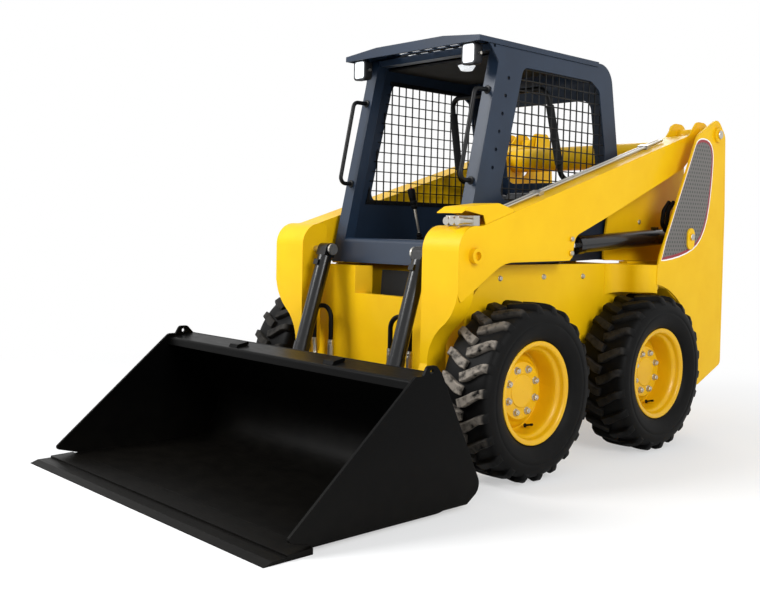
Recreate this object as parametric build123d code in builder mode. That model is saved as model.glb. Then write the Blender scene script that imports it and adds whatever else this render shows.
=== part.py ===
"""A skid steer loader with radial lift arms, a bucket on a quick-attach carriage and four lugged tyres.

Millimetres. X points to the machine's left, Y to its rear and Z up, with the origin on the ground under
the middle of its length and width. Each sub-part is written to parts/ under the name of its node.
"""
from math import atan2, cos, degrees, hypot, pi, radians, sin, sqrt, tan
import os

from build123d import *

os.makedirs("parts", exist_ok=True)

# Driving dimensions: wheels and stance
wheelbase = 975
front_axle_y = -150
tyre_radius = 384
tyre_half_width = 132
tread_half_width = 113
tyre_centre_x = 661
lug_height = 24
lug_count = 18
lug_length = 109
lug_width = 36
lug_skew = 25
tube_flats = 12
rim_flange_radius = 222.5
rim_half_width = 105
rim_barrel_radius = 186
bead_radius = 203
rim_metal = 7
wheel_disc_inset = 62
wheel_disc_metal = 12
wheel_disc_radius = 118
stud_circle_radius = 82.5
nut_width = 24
stud_count = 8
axle_housing_radius = 62
axle_shaft_radius = 30
hub_radius = 55
hub_length = 50

# Driving dimensions: chassis
frame_half_width = 510
frame_plate = 10
frame_front_y = -335
frame_rear_y = 1560
belly_z = 205
deck_z = 916
rear_end_y = 1640
front_notch_half_width = 200
front_notch_z = 756
front_wall_top_z = 888
notch_return = 70
tie_down_radius = 15

# Driving dimensions: engine hood
hood_front_y = 960
hood_pivot_y = 986
hood_pivot_z = 1150
hood_pin_radius = 8
hood_z = 1185
hood_half_width = 440
hood_sheet = 12

# Driving dimensions: rear towers and boom pivot
tower_outer_x = 700
tower_plate = 10
tower_inner_x = 450
pivot_y = 1425
pivot_z = 1602
lift_base_y = 1182
lift_base_z = 1057
pivot_pin_radius = 22

# Driving dimensions: boom
arm_outer_x = 612
arm_inner_x = 470
knee_inner_x = 404
arm_plate = 8
arm_end_radius = 70
lift_pin_y = 270
lift_pin_z = 1000
tilt_pin_y = -413
tilt_pin_z = 962
hinge_y = -590
hinge_z = 150
leg_outer_x = 447
knee_front_y = -495
knee_top_z = 1085
leg_rear_y = -380
cross_tube_y = 1180
cross_tube_z = 1490
cross_tube_radius = 68
front_tube_y = -450
front_tube_z = 400
front_tube_radius = 38

# Driving dimensions: cylinders
lift_barrel_radius = 42
lift_rod_radius = 24
tilt_cylinder_x = 322
tilt_barrel_radius = 36
tilt_rod_radius = 19
cylinder_pin_radius = 16
rod_pin_y = -622
rod_pin_z = 285

# Driving dimensions: bucket
bucket_half_width = 850
bucket_plate = 8
side_plate = 12
bucket_floor_z = 14
lip_y = -1640
lip_half_width = 866
bucket_back_radius = 170
edge_step_y = -1545
edge_nub_count = 11

# Driving dimensions: cab
sill_z = 900
cab_half_width = 435
cab_post = 68
cab_sheet = 8
roof_z = 1917
roof_crown = 19
roof_flat_half_width = 220
roof_front_y = -209
roof_rear_y = 690
roof_sheet = 6
roof_lip = 26
roof_slot_count = 6
roof_slot_rows = 4
screen_pitch = 50
screen_wire = 5
restraint_pin_radius = 10
lever_x = 200

# Named clearances
running_gap = 6
seat_gap = 0.3

rear_axle_y = front_axle_y + wheelbase
axle_z = tyre_radius
wheel_flats = 2 * lug_count
tread_radius = tyre_radius - lug_height
arch_radius = tyre_radius + 52


def write(part, label):
    part.label = label
    export_step(part, f"parts/{label}.step")


def plate(x_from, x_to, *corners, mode=Mode.ADD):
    """A plate between two x values. Each corner is (y, z), or (y, z, radius) where it is rounded."""
    with BuildSketch(Plane.YZ.offset(x_from)) as outline:
        with BuildLine():
            Polyline(*[corner[:2] for corner in corners], close=True)
        make_face()
        for corner in corners:
            if len(corner) == 3:
                fillet(outline.vertices().sort_by_distance((corner[0], corner[1], 0))[0], corner[2])
    extrude(outline.sketch, amount=x_to - x_from, mode=mode)


def front_plate(y_from, y_to, *corners, mode=Mode.ADD):
    """A plate between two y values. Each corner is (x, z), or (x, z, radius) where it is rounded."""
    with BuildSketch(Plane.XZ.offset(-y_from)) as outline:
        with BuildLine():
            Polyline(*[corner[:2] for corner in corners], close=True)
        make_face()
        for corner in corners:
            if len(corner) == 3:
                fillet(outline.vertices().sort_by_distance((corner[0], corner[1], 0))[0], corner[2])
    extrude(outline.sketch, amount=y_from - y_to, mode=mode)


def block(x_from, x_to, y_from, y_to, z_from, z_to, mode=Mode.ADD):
    middle = ((x_from + x_to) / 2, (y_from + y_to) / 2, (z_from + z_to) / 2)
    with Locations(middle):
        Box(abs(x_to - x_from), abs(y_to - y_from), abs(z_to - z_from), mode=mode)


def crosswise(x_from, x_to, y, z, radius, mode=Mode.ADD):
    """A round bar or bore along X between two x values."""
    with Locations(Location(((x_from + x_to) / 2, y, z), (0, 90, 0))):
        Cylinder(radius, abs(x_to - x_from), mode=mode)


def bent_tube(radius, bend, *points):
    """A tube of straight runs between the points, with its corners turned to one radius."""
    spots = [Vector(*point) for point in points]
    across = (spots[1] - spots[0]).cross(spots[2] - spots[1]).normalized()
    start = spots[0]
    for index in range(1, len(spots)):
        along = (spots[index] - spots[index - 1]).normalized()
        last = index == len(spots) - 1
        if last:
            end = spots[index]
        else:
            onward = (spots[index + 1] - spots[index]).normalized()
            turn = along.get_angle(onward)
            reach = bend * tan(radians(turn / 2))
            end = spots[index] - along * reach
        with BuildSketch(Plane(origin=start, x_dir=across, z_dir=along)) as run_ring:
            RegularPolygon(radius, tube_flats, major_radius=False)
        extrude(run_ring.sketch, amount=(end - start).length)
        if not last:
            inward = (onward - along * onward.dot(along)).normalized()
            with BuildSketch(Plane(origin=end, x_dir=across, z_dir=along)) as bend_ring:
                RegularPolygon(radius, tube_flats, major_radius=False)
            revolve(bend_ring.sketch, axis=Axis(end + inward * bend, along.cross(onward)), revolution_arc=turn)
            start = spots[index] + onward * reach


def drum(*stations, mode=Mode.ADD):
    """A body about X with two flats to each lug, through (x, distance of the flats) stations."""
    rings = []
    for x, flat_distance in stations:
        with BuildSketch(Plane.YZ.offset(x)) as ring:
            RegularPolygon(flat_distance, wheel_flats, major_radius=False, rotation=180 / wheel_flats)
        rings.append(ring.sketch)
    loft(rings, ruled=True, mode=mode)


def mirrored(part):
    return mirror(part, about=Plane.YZ)


# Tyre, made once for the left side with its axle along X, and mirrored for the right side
bead_x = rim_half_width - rim_metal - seat_gap
with BuildPart() as tyre:
    drum((-bead_x, rim_flange_radius + seat_gap), (-tyre_half_width, 290), (-tread_half_width, tread_radius),
         (tread_half_width, tread_radius), (tyre_half_width, 290), (bead_x, rim_flange_radius + seat_gap))
    drum((-tyre_half_width, bead_radius + seat_gap), (tyre_half_width, bead_radius + seat_gap), mode=Mode.SUBTRACT)
    lug_step = 360 / lug_count
    lug_reach = lug_length / 2 * sin(radians(lug_skew)) + lug_width / 2 * cos(radians(lug_skew))
    lug_top = sqrt(tyre_radius**2 - lug_reach**2)
    first_lug = degrees(atan2(lug_reach, lug_top))
    lug_spots = []
    for side, phase in ((1, first_lug), (-1, first_lug + lug_step / 2)):
        for index in range(lug_count):
            turn = Location((0, 0, 0), (phase + index * lug_step, 0, 0))
            foot = Location((side * lug_length / 2, 0, tread_radius - 12), (0, 0, side * lug_skew))
            lug_spots.append(turn * foot)
    with Locations(*lug_spots):
        Box(lug_length, lug_width, lug_top - tread_radius + 12, align=(Align.CENTER, Align.CENTER, Align.MIN))

# Rim with its deep dish: the outer side is +X
disc_x = rim_half_width - 2 * wheel_disc_inset
disc_foot_x = disc_x - 34
dish_radius = bead_radius - rim_metal
barrel_inner = rim_barrel_radius - rim_metal
with BuildPart() as rim:
    drum((-rim_half_width, rim_flange_radius), (-rim_half_width + rim_metal, rim_flange_radius))
    drum((rim_half_width - rim_metal, rim_flange_radius), (rim_half_width, rim_flange_radius))
    drum((-rim_half_width + 1, bead_radius), (rim_half_width - 1, bead_radius))
    drum((-rim_half_width - 1, dish_radius + 2), (-rim_half_width + 40, barrel_inner),
         (rim_half_width - 48, barrel_inner), (rim_half_width - 32, dish_radius - 6),
         (rim_half_width + 1, dish_radius + 2), mode=Mode.SUBTRACT)
    drum((disc_foot_x - wheel_disc_metal, barrel_inner + 2), (disc_foot_x, barrel_inner + 2),
         (disc_x, wheel_disc_radius))
    drum((disc_foot_x - wheel_disc_metal - 1, barrel_inner - 14), (disc_x - wheel_disc_metal, wheel_disc_radius - 6),
         mode=Mode.SUBTRACT)
    hub_end_x = disc_x - wheel_disc_metal - hub_length
    crosswise(hub_end_x, disc_x - wheel_disc_metal + 1, 0, 0, hub_radius)
    crosswise(hub_end_x - 1, hub_end_x + 30 + seat_gap, 0, 0, axle_shaft_radius + seat_gap, mode=Mode.SUBTRACT)
    crosswise(disc_x, disc_x + 5, 0, 0, 62)
    with BuildSketch(Plane.YZ.offset(disc_x)):
        with PolarLocations(stud_circle_radius, stud_count, start_angle=180 / stud_count):
            RegularPolygon(nut_width / 2, 6, major_radius=False)
    extrude(amount=16)

housing_end_x = tyre_centre_x + hub_end_x - running_gap

wheel_places = {
    "front_left": (tyre_centre_x, front_axle_y, False),
    "front_right": (-tyre_centre_x, front_axle_y, True),
    "rear_left": (tyre_centre_x, rear_axle_y, False),
    "rear_right": (-tyre_centre_x, rear_axle_y, True),
}
for corner_name, (wheel_x, wheel_y, flip) in wheel_places.items():
    for name, source in (("tyre", tyre.part), ("rim", rim.part)):
        shape = mirrored(source) if flip else source
        write(shape.moved(Location((wheel_x, wheel_y, axle_z))), f"{name}_{corner_name}")

# Chassis: side walls with a folded top, belly plate, front wall with its foot notch, and tie-down eyes
inner_x = frame_half_width - frame_plate
with BuildPart() as main_frame:
    for side in (1, -1):
        plate(side * inner_x, side * frame_half_width,
              (frame_front_y, 300), (frame_front_y + 95, belly_z), (frame_rear_y - 60, belly_z), (frame_rear_y, 330),
              (frame_rear_y, deck_z), (frame_front_y + 165, deck_z, 160), (frame_front_y, deck_z - 190, 60))
        block(side * (inner_x - 30), side * inner_x, frame_front_y + 190, hood_front_y - 20, deck_z - 8, deck_z)
        block(side * (cab_half_width - 17), side * inner_x, frame_front_y + 110, hood_front_y - 20, sill_z - 10,
              sill_z - seat_gap)
        for eye_y in (frame_front_y + 150, frame_rear_y - 150):
            plate(side * frame_half_width, side * (frame_half_width + frame_plate), (eye_y - 60, belly_z),
                  (eye_y + 60, belly_z), (eye_y + 35, belly_z - 52, 20), (eye_y - 35, belly_z - 52, 20))
            plate(side * frame_half_width, side * (frame_half_width + frame_plate), (eye_y - 60, belly_z - 1),
                  (eye_y + 60, belly_z - 1), (eye_y + 60, belly_z + 40), (eye_y - 60, belly_z + 40))
            crosswise(side * (frame_half_width - 1), side * (frame_half_width + frame_plate + 1), eye_y,
                      belly_z - 22, tie_down_radius, mode=Mode.SUBTRACT)
    block(-inner_x, inner_x, frame_front_y + 95, frame_rear_y - 60, belly_z, belly_z + frame_plate)
    plate(-inner_x, inner_x, (frame_front_y, 300), (frame_front_y + 95, belly_z), (frame_front_y + 95, belly_z + 14),
          (frame_front_y + frame_plate, 304))
    block(-inner_x, inner_x, frame_front_y, frame_front_y + frame_plate, 300, front_notch_z)
    wall_half_width = cab_half_width
    for side in (1, -1):
        front_plate(frame_front_y, frame_front_y + frame_plate, (side * front_notch_half_width, front_notch_z - 60),
                    (side * front_notch_half_width, front_wall_top_z), (side * wall_half_width, front_wall_top_z, 25),
                    (side * inner_x, deck_z - 200), (side * inner_x, front_notch_z - 60))
        with BuildSketch(Plane.XY.offset(front_notch_z)) as return_flange:
            with BuildLine():
                Polyline((side * front_notch_half_width, frame_front_y),
                         (side * (front_notch_half_width - 48), frame_front_y + notch_return),
                         (side * (front_notch_half_width - 38), frame_front_y + notch_return + 2),
                         (side * (front_notch_half_width + 12), frame_front_y + 1), close=True)
            make_face()
        extrude(return_flange.sketch, amount=front_wall_top_z - front_notch_z)
        block(side * (front_notch_half_width + 1), side * (wall_half_width - 25), frame_front_y,
              frame_front_y + 30, front_wall_top_z - 8,
              front_wall_top_z)
    block(-front_notch_half_width, front_notch_half_width, frame_front_y, frame_front_y + 40, front_notch_z - 8,
          front_notch_z)
    block(-inner_x, inner_x, frame_rear_y - 40, frame_rear_y - 28, belly_z + frame_plate, 330)
write(main_frame.part, "main_frame")

# Rear towers: outer plate, inner plate, arch plate over the rear tyre, front fairing and a rear closing plate
arch_points = []
for index in range(7):
    angle = radians(86 - index * 17.5)
    arch_points.append((rear_axle_y + arch_radius * cos(angle), axle_z + arch_radius * sin(angle)))
tube_sweep_y = cross_tube_y + cross_tube_radius + 14
fairing_y = 700
ledge_z = deck_z - 10
tower_shoulder = (1221, 1585)
fairing_end = (tower_outer_x - 4, 888)
fairing_middle = ((frame_half_width + fairing_end[0]) / 2, (fairing_y + fairing_end[1]) / 2)
with BuildPart() as left_tower:
    with BuildSketch(Plane.YZ.offset(tower_outer_x - tower_plate)) as outer_face:
        with BuildLine():
            arch_start = (rear_axle_y + arch_radius * cos(radians(83)), axle_z + arch_radius * sin(radians(83)))
            arch_middle = (rear_axle_y + arch_radius * cos(radians(35)), axle_z + arch_radius * sin(radians(35)))
            arch_end = (rear_axle_y + arch_radius * cos(radians(-14)), axle_z + arch_radius * sin(radians(-14)))
            ThreePointArc(arch_start, arch_middle, arch_end)
            Polyline(arch_end, (1323, 272), (frame_rear_y, 367), (frame_rear_y - 20, 1200),
                     (pivot_y + 88, pivot_z), (pivot_y, pivot_z + 88), tower_shoulder, (901, 965),
                     (877, 895), arch_start)
        make_face()
        for spot, bend in (((1323, 272), 30), ((frame_rear_y, 367), 30), ((pivot_y + 88, pivot_z), 60),
                           ((pivot_y, pivot_z + 88), 60), (tower_shoulder, 80), ((901, 965), 60)):
            fillet(outer_face.vertices().sort_by_distance((spot[0], spot[1], 0))[0], bend)
    extrude(outer_face.sketch, amount=tower_plate)
    plate(tower_inner_x, tower_inner_x + tower_plate,
          (760, deck_z + 14, 20), (760, 1010, 30), (820, 1330, 40), (cross_tube_y - 30, 1385, 60),
          (tube_sweep_y, 1405, 60), (pivot_y - 90, pivot_z - 90, 60), (pivot_y - 62, pivot_z + 62, 40),
          (pivot_y + 40, pivot_z + 72, 40), (pivot_y + 75, pivot_z, 40), (frame_rear_y - 20, 1200),
          (frame_rear_y, deck_z), (900, deck_z + 14))
    for hole_y, hole_z in ((860, 1010), (900, 1230), (1080, 1130)):
        crosswise(tower_inner_x - 1, tower_inner_x + tower_plate + 1, hole_y, hole_z, 9, mode=Mode.SUBTRACT)
    arch_strip = arch_points + [
        (rear_axle_y + (arch_radius + 8) * cos(radians(-19 + index * 17.5)),
         axle_z + (arch_radius + 8) * sin(radians(-19 + index * 17.5)))
        for index in range(7)
    ]
    plate(frame_half_width, tower_outer_x - tower_plate, *arch_strip)
    block(frame_half_width, tower_outer_x - tower_plate, frame_rear_y - 12, frame_rear_y, 372, deck_z)
    plate(tower_inner_x + tower_plate, tower_outer_x - tower_plate, (frame_rear_y - 12, deck_z),
          (frame_rear_y, deck_z), (frame_rear_y - 20, 1200), (frame_rear_y - 32, 1200))
    block(tower_inner_x + tower_plate, frame_half_width, 900, frame_rear_y - 12, deck_z, deck_z + 10)
    with BuildSketch(Plane.XY.offset(ledge_z)) as fairing:
        with BuildLine():
            TangentArc((frame_half_width, fairing_y), fairing_middle, tangent=(0, 1))
            TangentArc(fairing_end, fairing_middle, tangent=(0, -1))
            Line(fairing_end, (fairing_end[0], fairing_end[1] + 12))
            TangentArc((fairing_end[0], fairing_end[1] + 12), (fairing_middle[0], fairing_middle[1] + 12),
                       tangent=(0, -1))
            TangentArc((frame_half_width, fairing_y + 12), (fairing_middle[0], fairing_middle[1] + 12),
                       tangent=(0, 1))
            Line((frame_half_width, fairing_y + 12), (frame_half_width, fairing_y))
        make_face()
    extrude(fairing.sketch, amount=-112)
    with BuildSketch(Plane.XY.offset(ledge_z)) as ledge:
        with BuildLine():
            TangentArc((frame_half_width, fairing_y), fairing_middle, tangent=(0, 1))
            TangentArc(fairing_end, fairing_middle, tangent=(0, -1))
            Polyline(fairing_end, (fairing_end[0], 1000), (frame_half_width, 1000), (frame_half_width, fairing_y))
        make_face()
        with Locations((600, 925)):
            SlotOverall(110, 36, rotation=90, mode=Mode.SUBTRACT)
    extrude(ledge.sketch, amount=8)
    crosswise(hood_half_width - 18, tower_inner_x + 1, hood_pivot_y, hood_pivot_z, hood_pin_radius)
    crosswise(tower_outer_x, tower_outer_x + 12, pivot_y, pivot_z, 40)
    crosswise(tower_inner_x, tower_outer_x + 18, pivot_y, pivot_z, pivot_pin_radius)
    plate(tower_outer_x, tower_outer_x + 8, (lift_base_y - 34, lift_base_z + 46, 34),
          (lift_base_y + 34, lift_base_z + 46, 34), (lift_base_y + 34, lift_base_z - 66, 34),
          (lift_base_y - 34, lift_base_z - 66, 34))
    crosswise(tower_inner_x, tower_outer_x + 16, lift_base_y, lift_base_z, cylinder_pin_radius)
write(left_tower.part, "left_tower")
write(mirrored(left_tower.part), "right_tower")

# Axle housings on the side walls, each with a bolted flange
with BuildPart() as axle_housings:
    for side in (1, -1):
        for wheel_y in (front_axle_y, rear_axle_y):
            crosswise(side * (frame_half_width + seat_gap), side * housing_end_x, wheel_y, axle_z,
                      axle_housing_radius)
            plate(side * (frame_half_width + seat_gap), side * (frame_half_width + 14),
                  (wheel_y - 50, axle_z - 78), (wheel_y + 50, axle_z - 78), (wheel_y + 78, axle_z - 50),
                  (wheel_y + 78, axle_z + 50), (wheel_y + 50, axle_z + 78), (wheel_y - 50, axle_z + 78),
                  (wheel_y - 78, axle_z + 50), (wheel_y - 78, axle_z - 50))
            crosswise(side * (housing_end_x - 1), side * (housing_end_x + running_gap + 30), wheel_y, axle_z,
                      axle_shaft_radius)
write(axle_housings.part, "axle_housings")

# Engine, one plain block between the walls
with BuildPart() as engine_block:
    block(-270, 270, hood_front_y, 1440, belly_z + frame_plate + seat_gap, 820)
write(engine_block.part, "engine_block")

# Step grating under the front wall: a tread with a toothed front edge between two brackets
step_z = 430
step_depth = 62
with BuildPart() as step_grating:
    block(-300, 300, frame_front_y - step_depth, frame_front_y - seat_gap, step_z - 8, step_z)
    for side in (1, -1):
        plate(side * 292, side * 300, (frame_front_y - step_depth, step_z - 8),
              (frame_front_y - seat_gap, step_z - 8),
              (frame_front_y - seat_gap, step_z - 70))
    with BuildSketch(Plane.XZ.offset(-(frame_front_y - step_depth))):
        with Locations((0, step_z + 7)):
            with GridLocations(40, 1, 14, 1):
                Trapezoid(30, 16, 60)
    extrude(amount=-8)
write(step_grating.part, "step_grating")

# Engine hood: a crowned lid with folded sides and a row of louvres
with BuildPart() as engine_hood:
    plate(-hood_half_width, hood_half_width, (hood_front_y, hood_z - 40), (hood_front_y, hood_z, 14),
          (1480, hood_z - 25, 40), (1545, hood_z - 60, 10), (1545, hood_z - 100), (1533, hood_z - 100),
          (1533, hood_z - 66), (1474, hood_z - 37), (hood_front_y + hood_sheet, hood_z - hood_sheet),
          (hood_front_y + hood_sheet, hood_z - 40))
    for side in (1, -1):
        plate(side * (hood_half_width - 10), side * hood_half_width, (hood_front_y, hood_z - 100),
              (hood_front_y, hood_z - 5), (1480, hood_z - 30), (1540, hood_z - 62), (1540, hood_z - 100))
        crosswise(side * (hood_half_width - 11), side * (hood_half_width + 1), hood_pivot_y, hood_pivot_z,
                  hood_pin_radius + seat_gap, mode=Mode.SUBTRACT)
    for louvre_y in range(1120, 1420, 60):
        block(-260, 260, louvre_y, louvre_y + 22, hood_z - 60, hood_z, mode=Mode.SUBTRACT)
write(engine_hood.part, "engine_hood")

door_hinge_x = 446
door_hinge_y = rear_end_y - 13
door_hinge_heights = (540, 960)
door_pin_radius = 8
door_half_width = 432
door_low_z = 420
door_top_z = 1075
door_sheet = 12
door_louvres = 10
vent_low_z = 640
vent_top_z = 1010

# Rear door: a shallow pan with a louvred opening and two hinge knuckles
with BuildPart() as rear_door:
    front_plate(frame_rear_y + 8, rear_end_y, (-door_half_width, door_low_z, 20), (door_half_width, door_low_z, 20),
                (door_half_width, door_top_z, 40), (-door_half_width, door_top_z, 40))
    block(-door_half_width + door_sheet, door_half_width - door_sheet, frame_rear_y + 7, rear_end_y - 10,
          door_low_z + door_sheet, door_top_z - door_sheet, mode=Mode.SUBTRACT)
    block(-330, 330, rear_end_y - 12, rear_end_y + 1, vent_low_z, vent_top_z, mode=Mode.SUBTRACT)
    louvre_pitch = (vent_top_z - vent_low_z) / door_louvres
    for index in range(door_louvres):
        low = vent_low_z + 6 + index * louvre_pitch
        plate(-332, 332, (rear_end_y - 10, low), (rear_end_y - 2, low + 14), (rear_end_y - 2, low + 18),
              (rear_end_y - 10, low + 4))
    for hinge_height in door_hinge_heights:
        block(door_half_width - 1, door_hinge_x, door_hinge_y - 14, door_hinge_y + 8, hinge_height - 25,
              hinge_height + 25)
        with Locations((door_hinge_x, door_hinge_y, hinge_height)):
            Cylinder(13, 50)
            Cylinder(door_pin_radius + seat_gap, 52, mode=Mode.SUBTRACT)
    block(-400, -370, rear_end_y - 11, rear_end_y, 560, 700, mode=Mode.SUBTRACT)
    block(-402, -368, rear_end_y - 16, rear_end_y - 10, 558, 702)
    block(-390, -380, rear_end_y - 11, rear_end_y - 2, 570, 690)
write(rear_door.part, "rear_door")

# Rear frame: bumper with a tapered underside, side posts and the hinge pins of the door
post_inner_x = door_hinge_x + 2
post_outer_x = post_inner_x + 28
with BuildPart() as rear_frame:
    plate(-500, 500, (frame_rear_y + seat_gap, 300), (rear_end_y - 30, 300), (rear_end_y, 330), (rear_end_y, 410),
          (frame_rear_y + seat_gap, 410))
    for side in (1, -1):
        block(side * post_inner_x, side * post_outer_x, frame_rear_y + seat_gap, frame_rear_y + 52, 410, door_top_z)
        block(side * 250, side * 330, rear_end_y - 20, rear_end_y + 1, 340, 375, mode=Mode.SUBTRACT)
    for hinge_height in door_hinge_heights:
        with Locations((door_hinge_x, door_hinge_y, hinge_height)):
            Cylinder(door_pin_radius, 86)
        for step in (-34.5, 34.5):
            block(door_hinge_x, post_outer_x, frame_rear_y + 40, door_hinge_y + 5, hinge_height + step - 9,
                  hinge_height + step + 9)
            with Locations((door_hinge_x, door_hinge_y, hinge_height + step)):
                Cylinder(13, 18)
write(rear_frame.part, "rear_frame")

with BuildPart() as tail_lamps:
    for side in (1, -1):
        front_plate(frame_rear_y + seat_gap, frame_rear_y + 22, (side * 540, 800, 14), (side * 660, 800, 14),
                    (side * 660, 880, 14), (side * 540, 880, 14))
write(tail_lamps.part, "tail_lamps")

# Boom arms: a channel of outer plate, inner plate, top plate and a round-nosed knee, with the leg below it
arm_top_start_y = -352
arm_top_end_y = 1290
arm_top_slope = 0.3094
arm_low_z = 931


def arm_top_z(y):
    return knee_top_z + (y - arm_top_start_y) * arm_top_slope


arm_rear_end = [
    (arm_top_end_y, arm_top_z(arm_top_end_y), 60),
    (pivot_y - 62, pivot_z + arm_end_radius, 50),
    (pivot_y + arm_end_radius, pivot_z + arm_end_radius, arm_end_radius - 4),
    (pivot_y + arm_end_radius, pivot_z - arm_end_radius, arm_end_radius - 4),
    (pivot_y - 40, pivot_z - arm_end_radius),
    (1237, 1414, 120),
    (571, 1150),
    (300, 1049, 60),
    (285, 955, 14),
    (262, arm_low_z + 6),
    (-206, arm_low_z, 230),
]
knee_nose = 105
arm_outline = [
    (knee_front_y, knee_top_z, knee_nose),
    (arm_top_start_y, knee_top_z, 80),
] + arm_rear_end + [(-457, 779), (-475, 768, 8), (knee_front_y, 800)]
leg_outline = [
    (knee_front_y, 830),
    (knee_front_y, 500),
    (-560, 300),
    (hinge_y - 48, hinge_z - 46, 30),
    (hinge_y + 46, hinge_z - 46, 40),
    (-470, 330, 60),
    (leg_rear_y, 470, 30),
    (leg_rear_y, 846),
]
taper_high = (arm_outer_x, 832)
taper_low = (leg_outer_x, 500)
taper_middle = ((taper_high[0] + taper_low[0]) / 2, (taper_high[1] + taper_low[1]) / 2)


def taper_curve(shift):
    """The S-shaped edge from the wide knee down to the narrow leg, moved inward by the shift."""
    TangentArc((taper_high[0] - shift, taper_high[1]), (taper_middle[0] - shift, taper_middle[1]), tangent=(0, -1))
    TangentArc((taper_low[0] - shift, taper_low[1]), (taper_middle[0] - shift, taper_middle[1]), tangent=(0, 1))


with BuildPart() as left_arm:
    plate(arm_outer_x - arm_plate, arm_outer_x, *arm_outline)
    plate(arm_inner_x, arm_inner_x + arm_plate, (-350, arm_top_z(-340) - 8), (-340, arm_top_z(-340) - 3), *arm_rear_end,
          (-350, 844))
    plate(knee_inner_x, leg_outer_x, *leg_outline)
    plate(knee_inner_x, knee_inner_x + 12, (knee_front_y, 820), (knee_front_y, knee_top_z, knee_nose),
          (-345, knee_top_z), (-345, 860), (leg_rear_y, 820))
    plate(knee_inner_x, arm_inner_x + arm_plate, (-353, 866), (-353, knee_top_z - 1), (-345, knee_top_z),
          (-345, 870))
    plate(knee_inner_x, arm_outer_x, (knee_front_y, 815), (knee_front_y, knee_top_z, knee_nose),
          (-345, knee_top_z), (-345, knee_top_z - 8),
          (knee_front_y + 8, knee_top_z - 8, knee_nose - 8), (knee_front_y + 8, 815))
    plate(arm_inner_x, arm_outer_x, (arm_top_start_y, knee_top_z), (arm_top_end_y, arm_top_z(arm_top_end_y)),
          (arm_top_end_y + 2, arm_top_z(arm_top_end_y) - 8), (arm_top_start_y + 2, knee_top_z - 8))
    with BuildSketch(Plane.XZ.offset(-knee_front_y)) as front_taper:
        with BuildLine():
            Polyline(taper_high, (knee_inner_x, taper_high[1]), (knee_inner_x, taper_low[1]), taper_low)
            taper_curve(0)
        make_face()
    extrude(front_taper.sketch, amount=-8)
    with BuildSketch(Plane.XZ.offset(-knee_front_y - 7)) as taper_wall:
        with BuildLine():
            Line(taper_high, (taper_high[0] - 9, taper_high[1]))
            Line(taper_low, (taper_low[0] - 9, taper_low[1]))
            taper_curve(0)
            taper_curve(9)
        make_face()
    extrude(taper_wall.sketch, amount=-92)
    plate(knee_inner_x + 12, arm_outer_x - arm_plate, (knee_front_y + 8, 800), (-457, 786), (-352, 853),
          (-352, 846), (-457, 779), (knee_front_y + 8, 792))
    plate(arm_inner_x + arm_plate, arm_outer_x - arm_plate, (-352, 853), (-290, 890), (-286, 882), (-352, 844))
    crosswise(arm_outer_x - 1, arm_outer_x + 25, tilt_pin_y + 11, tilt_pin_z - 1, 33)
    crosswise(arm_outer_x + 7, arm_outer_x + 26, tilt_pin_y + 11, tilt_pin_z - 1, 18, mode=Mode.SUBTRACT)
    crosswise(arm_outer_x - 1, arm_outer_x + 8, lift_pin_y - 3, lift_pin_z - 28, 13)
    crosswise(arm_outer_x - 1, arm_outer_x + 8, lift_pin_y - 3, lift_pin_z + 37, 11)
    crosswise(arm_inner_x + arm_plate - 1, arm_outer_x + 60, pivot_y, pivot_z, 40)
    crosswise(arm_inner_x - 1, arm_outer_x + 90, pivot_y, pivot_z, pivot_pin_radius + seat_gap, mode=Mode.SUBTRACT)
    crosswise(knee_inner_x - 1, leg_outer_x + 1, hinge_y, hinge_z, cylinder_pin_radius + seat_gap, mode=Mode.SUBTRACT)
write(left_arm.part, "left_arm")
write(mirrored(left_arm.part), "right_arm")

with BuildPart() as boom_cross_tube:
    crosswise(-arm_inner_x + seat_gap, arm_inner_x - seat_gap, cross_tube_y, cross_tube_z, cross_tube_radius)
    crosswise(-arm_inner_x, arm_inner_x, cross_tube_y, cross_tube_z, cross_tube_radius - 10, mode=Mode.SUBTRACT)
write(boom_cross_tube.part, "boom_cross_tube")

with BuildPart() as boom_front_tube:
    crosswise(-knee_inner_x + seat_gap, knee_inner_x - seat_gap, front_tube_y, front_tube_z, front_tube_radius)
    crosswise(-knee_inner_x, knee_inner_x, front_tube_y, front_tube_z, front_tube_radius - 8, mode=Mode.SUBTRACT)
write(boom_front_tube.part, "boom_front_tube")

# Top pins of the tilt cylinders, carried by the knees' inner plates
with BuildPart() as tilt_pins:
    for side in (1, -1):
        crosswise(side * (tilt_cylinder_x - 50), side * (knee_inner_x - seat_gap), tilt_pin_y, tilt_pin_z,
                  cylinder_pin_radius)
        crosswise(side * (tilt_cylinder_x - 50), side * (tilt_cylinder_x - 40), tilt_pin_y, tilt_pin_z, 27)
write(tilt_pins.part, "tilt_pins")

# Hydraulic couplers on the left knee, staggered, with their formed cover and the two steel lines behind it
coupler_radius = 17
coupler_spots = ((595, -492), (535, -461), (475, -431))
coupler_z = knee_top_z + coupler_radius + 2
with BuildPart() as coupler_block:
    block(knee_inner_x + 50, arm_outer_x - 2, -408, -370, knee_top_z + seat_gap, coupler_z + coupler_radius + 6)
    for spot_x, spot_y in coupler_spots:
        with Locations(Location((spot_x, (spot_y - 407) / 2, coupler_z), (90, 0, 0))):
            Cylinder(coupler_radius - 4, -spot_y - 407)
        with Locations(Location((spot_x, spot_y + 12, coupler_z), (90, 0, 0))):
            Cylinder(coupler_radius, 24)
write(coupler_block.part, "coupler_block")

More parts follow.
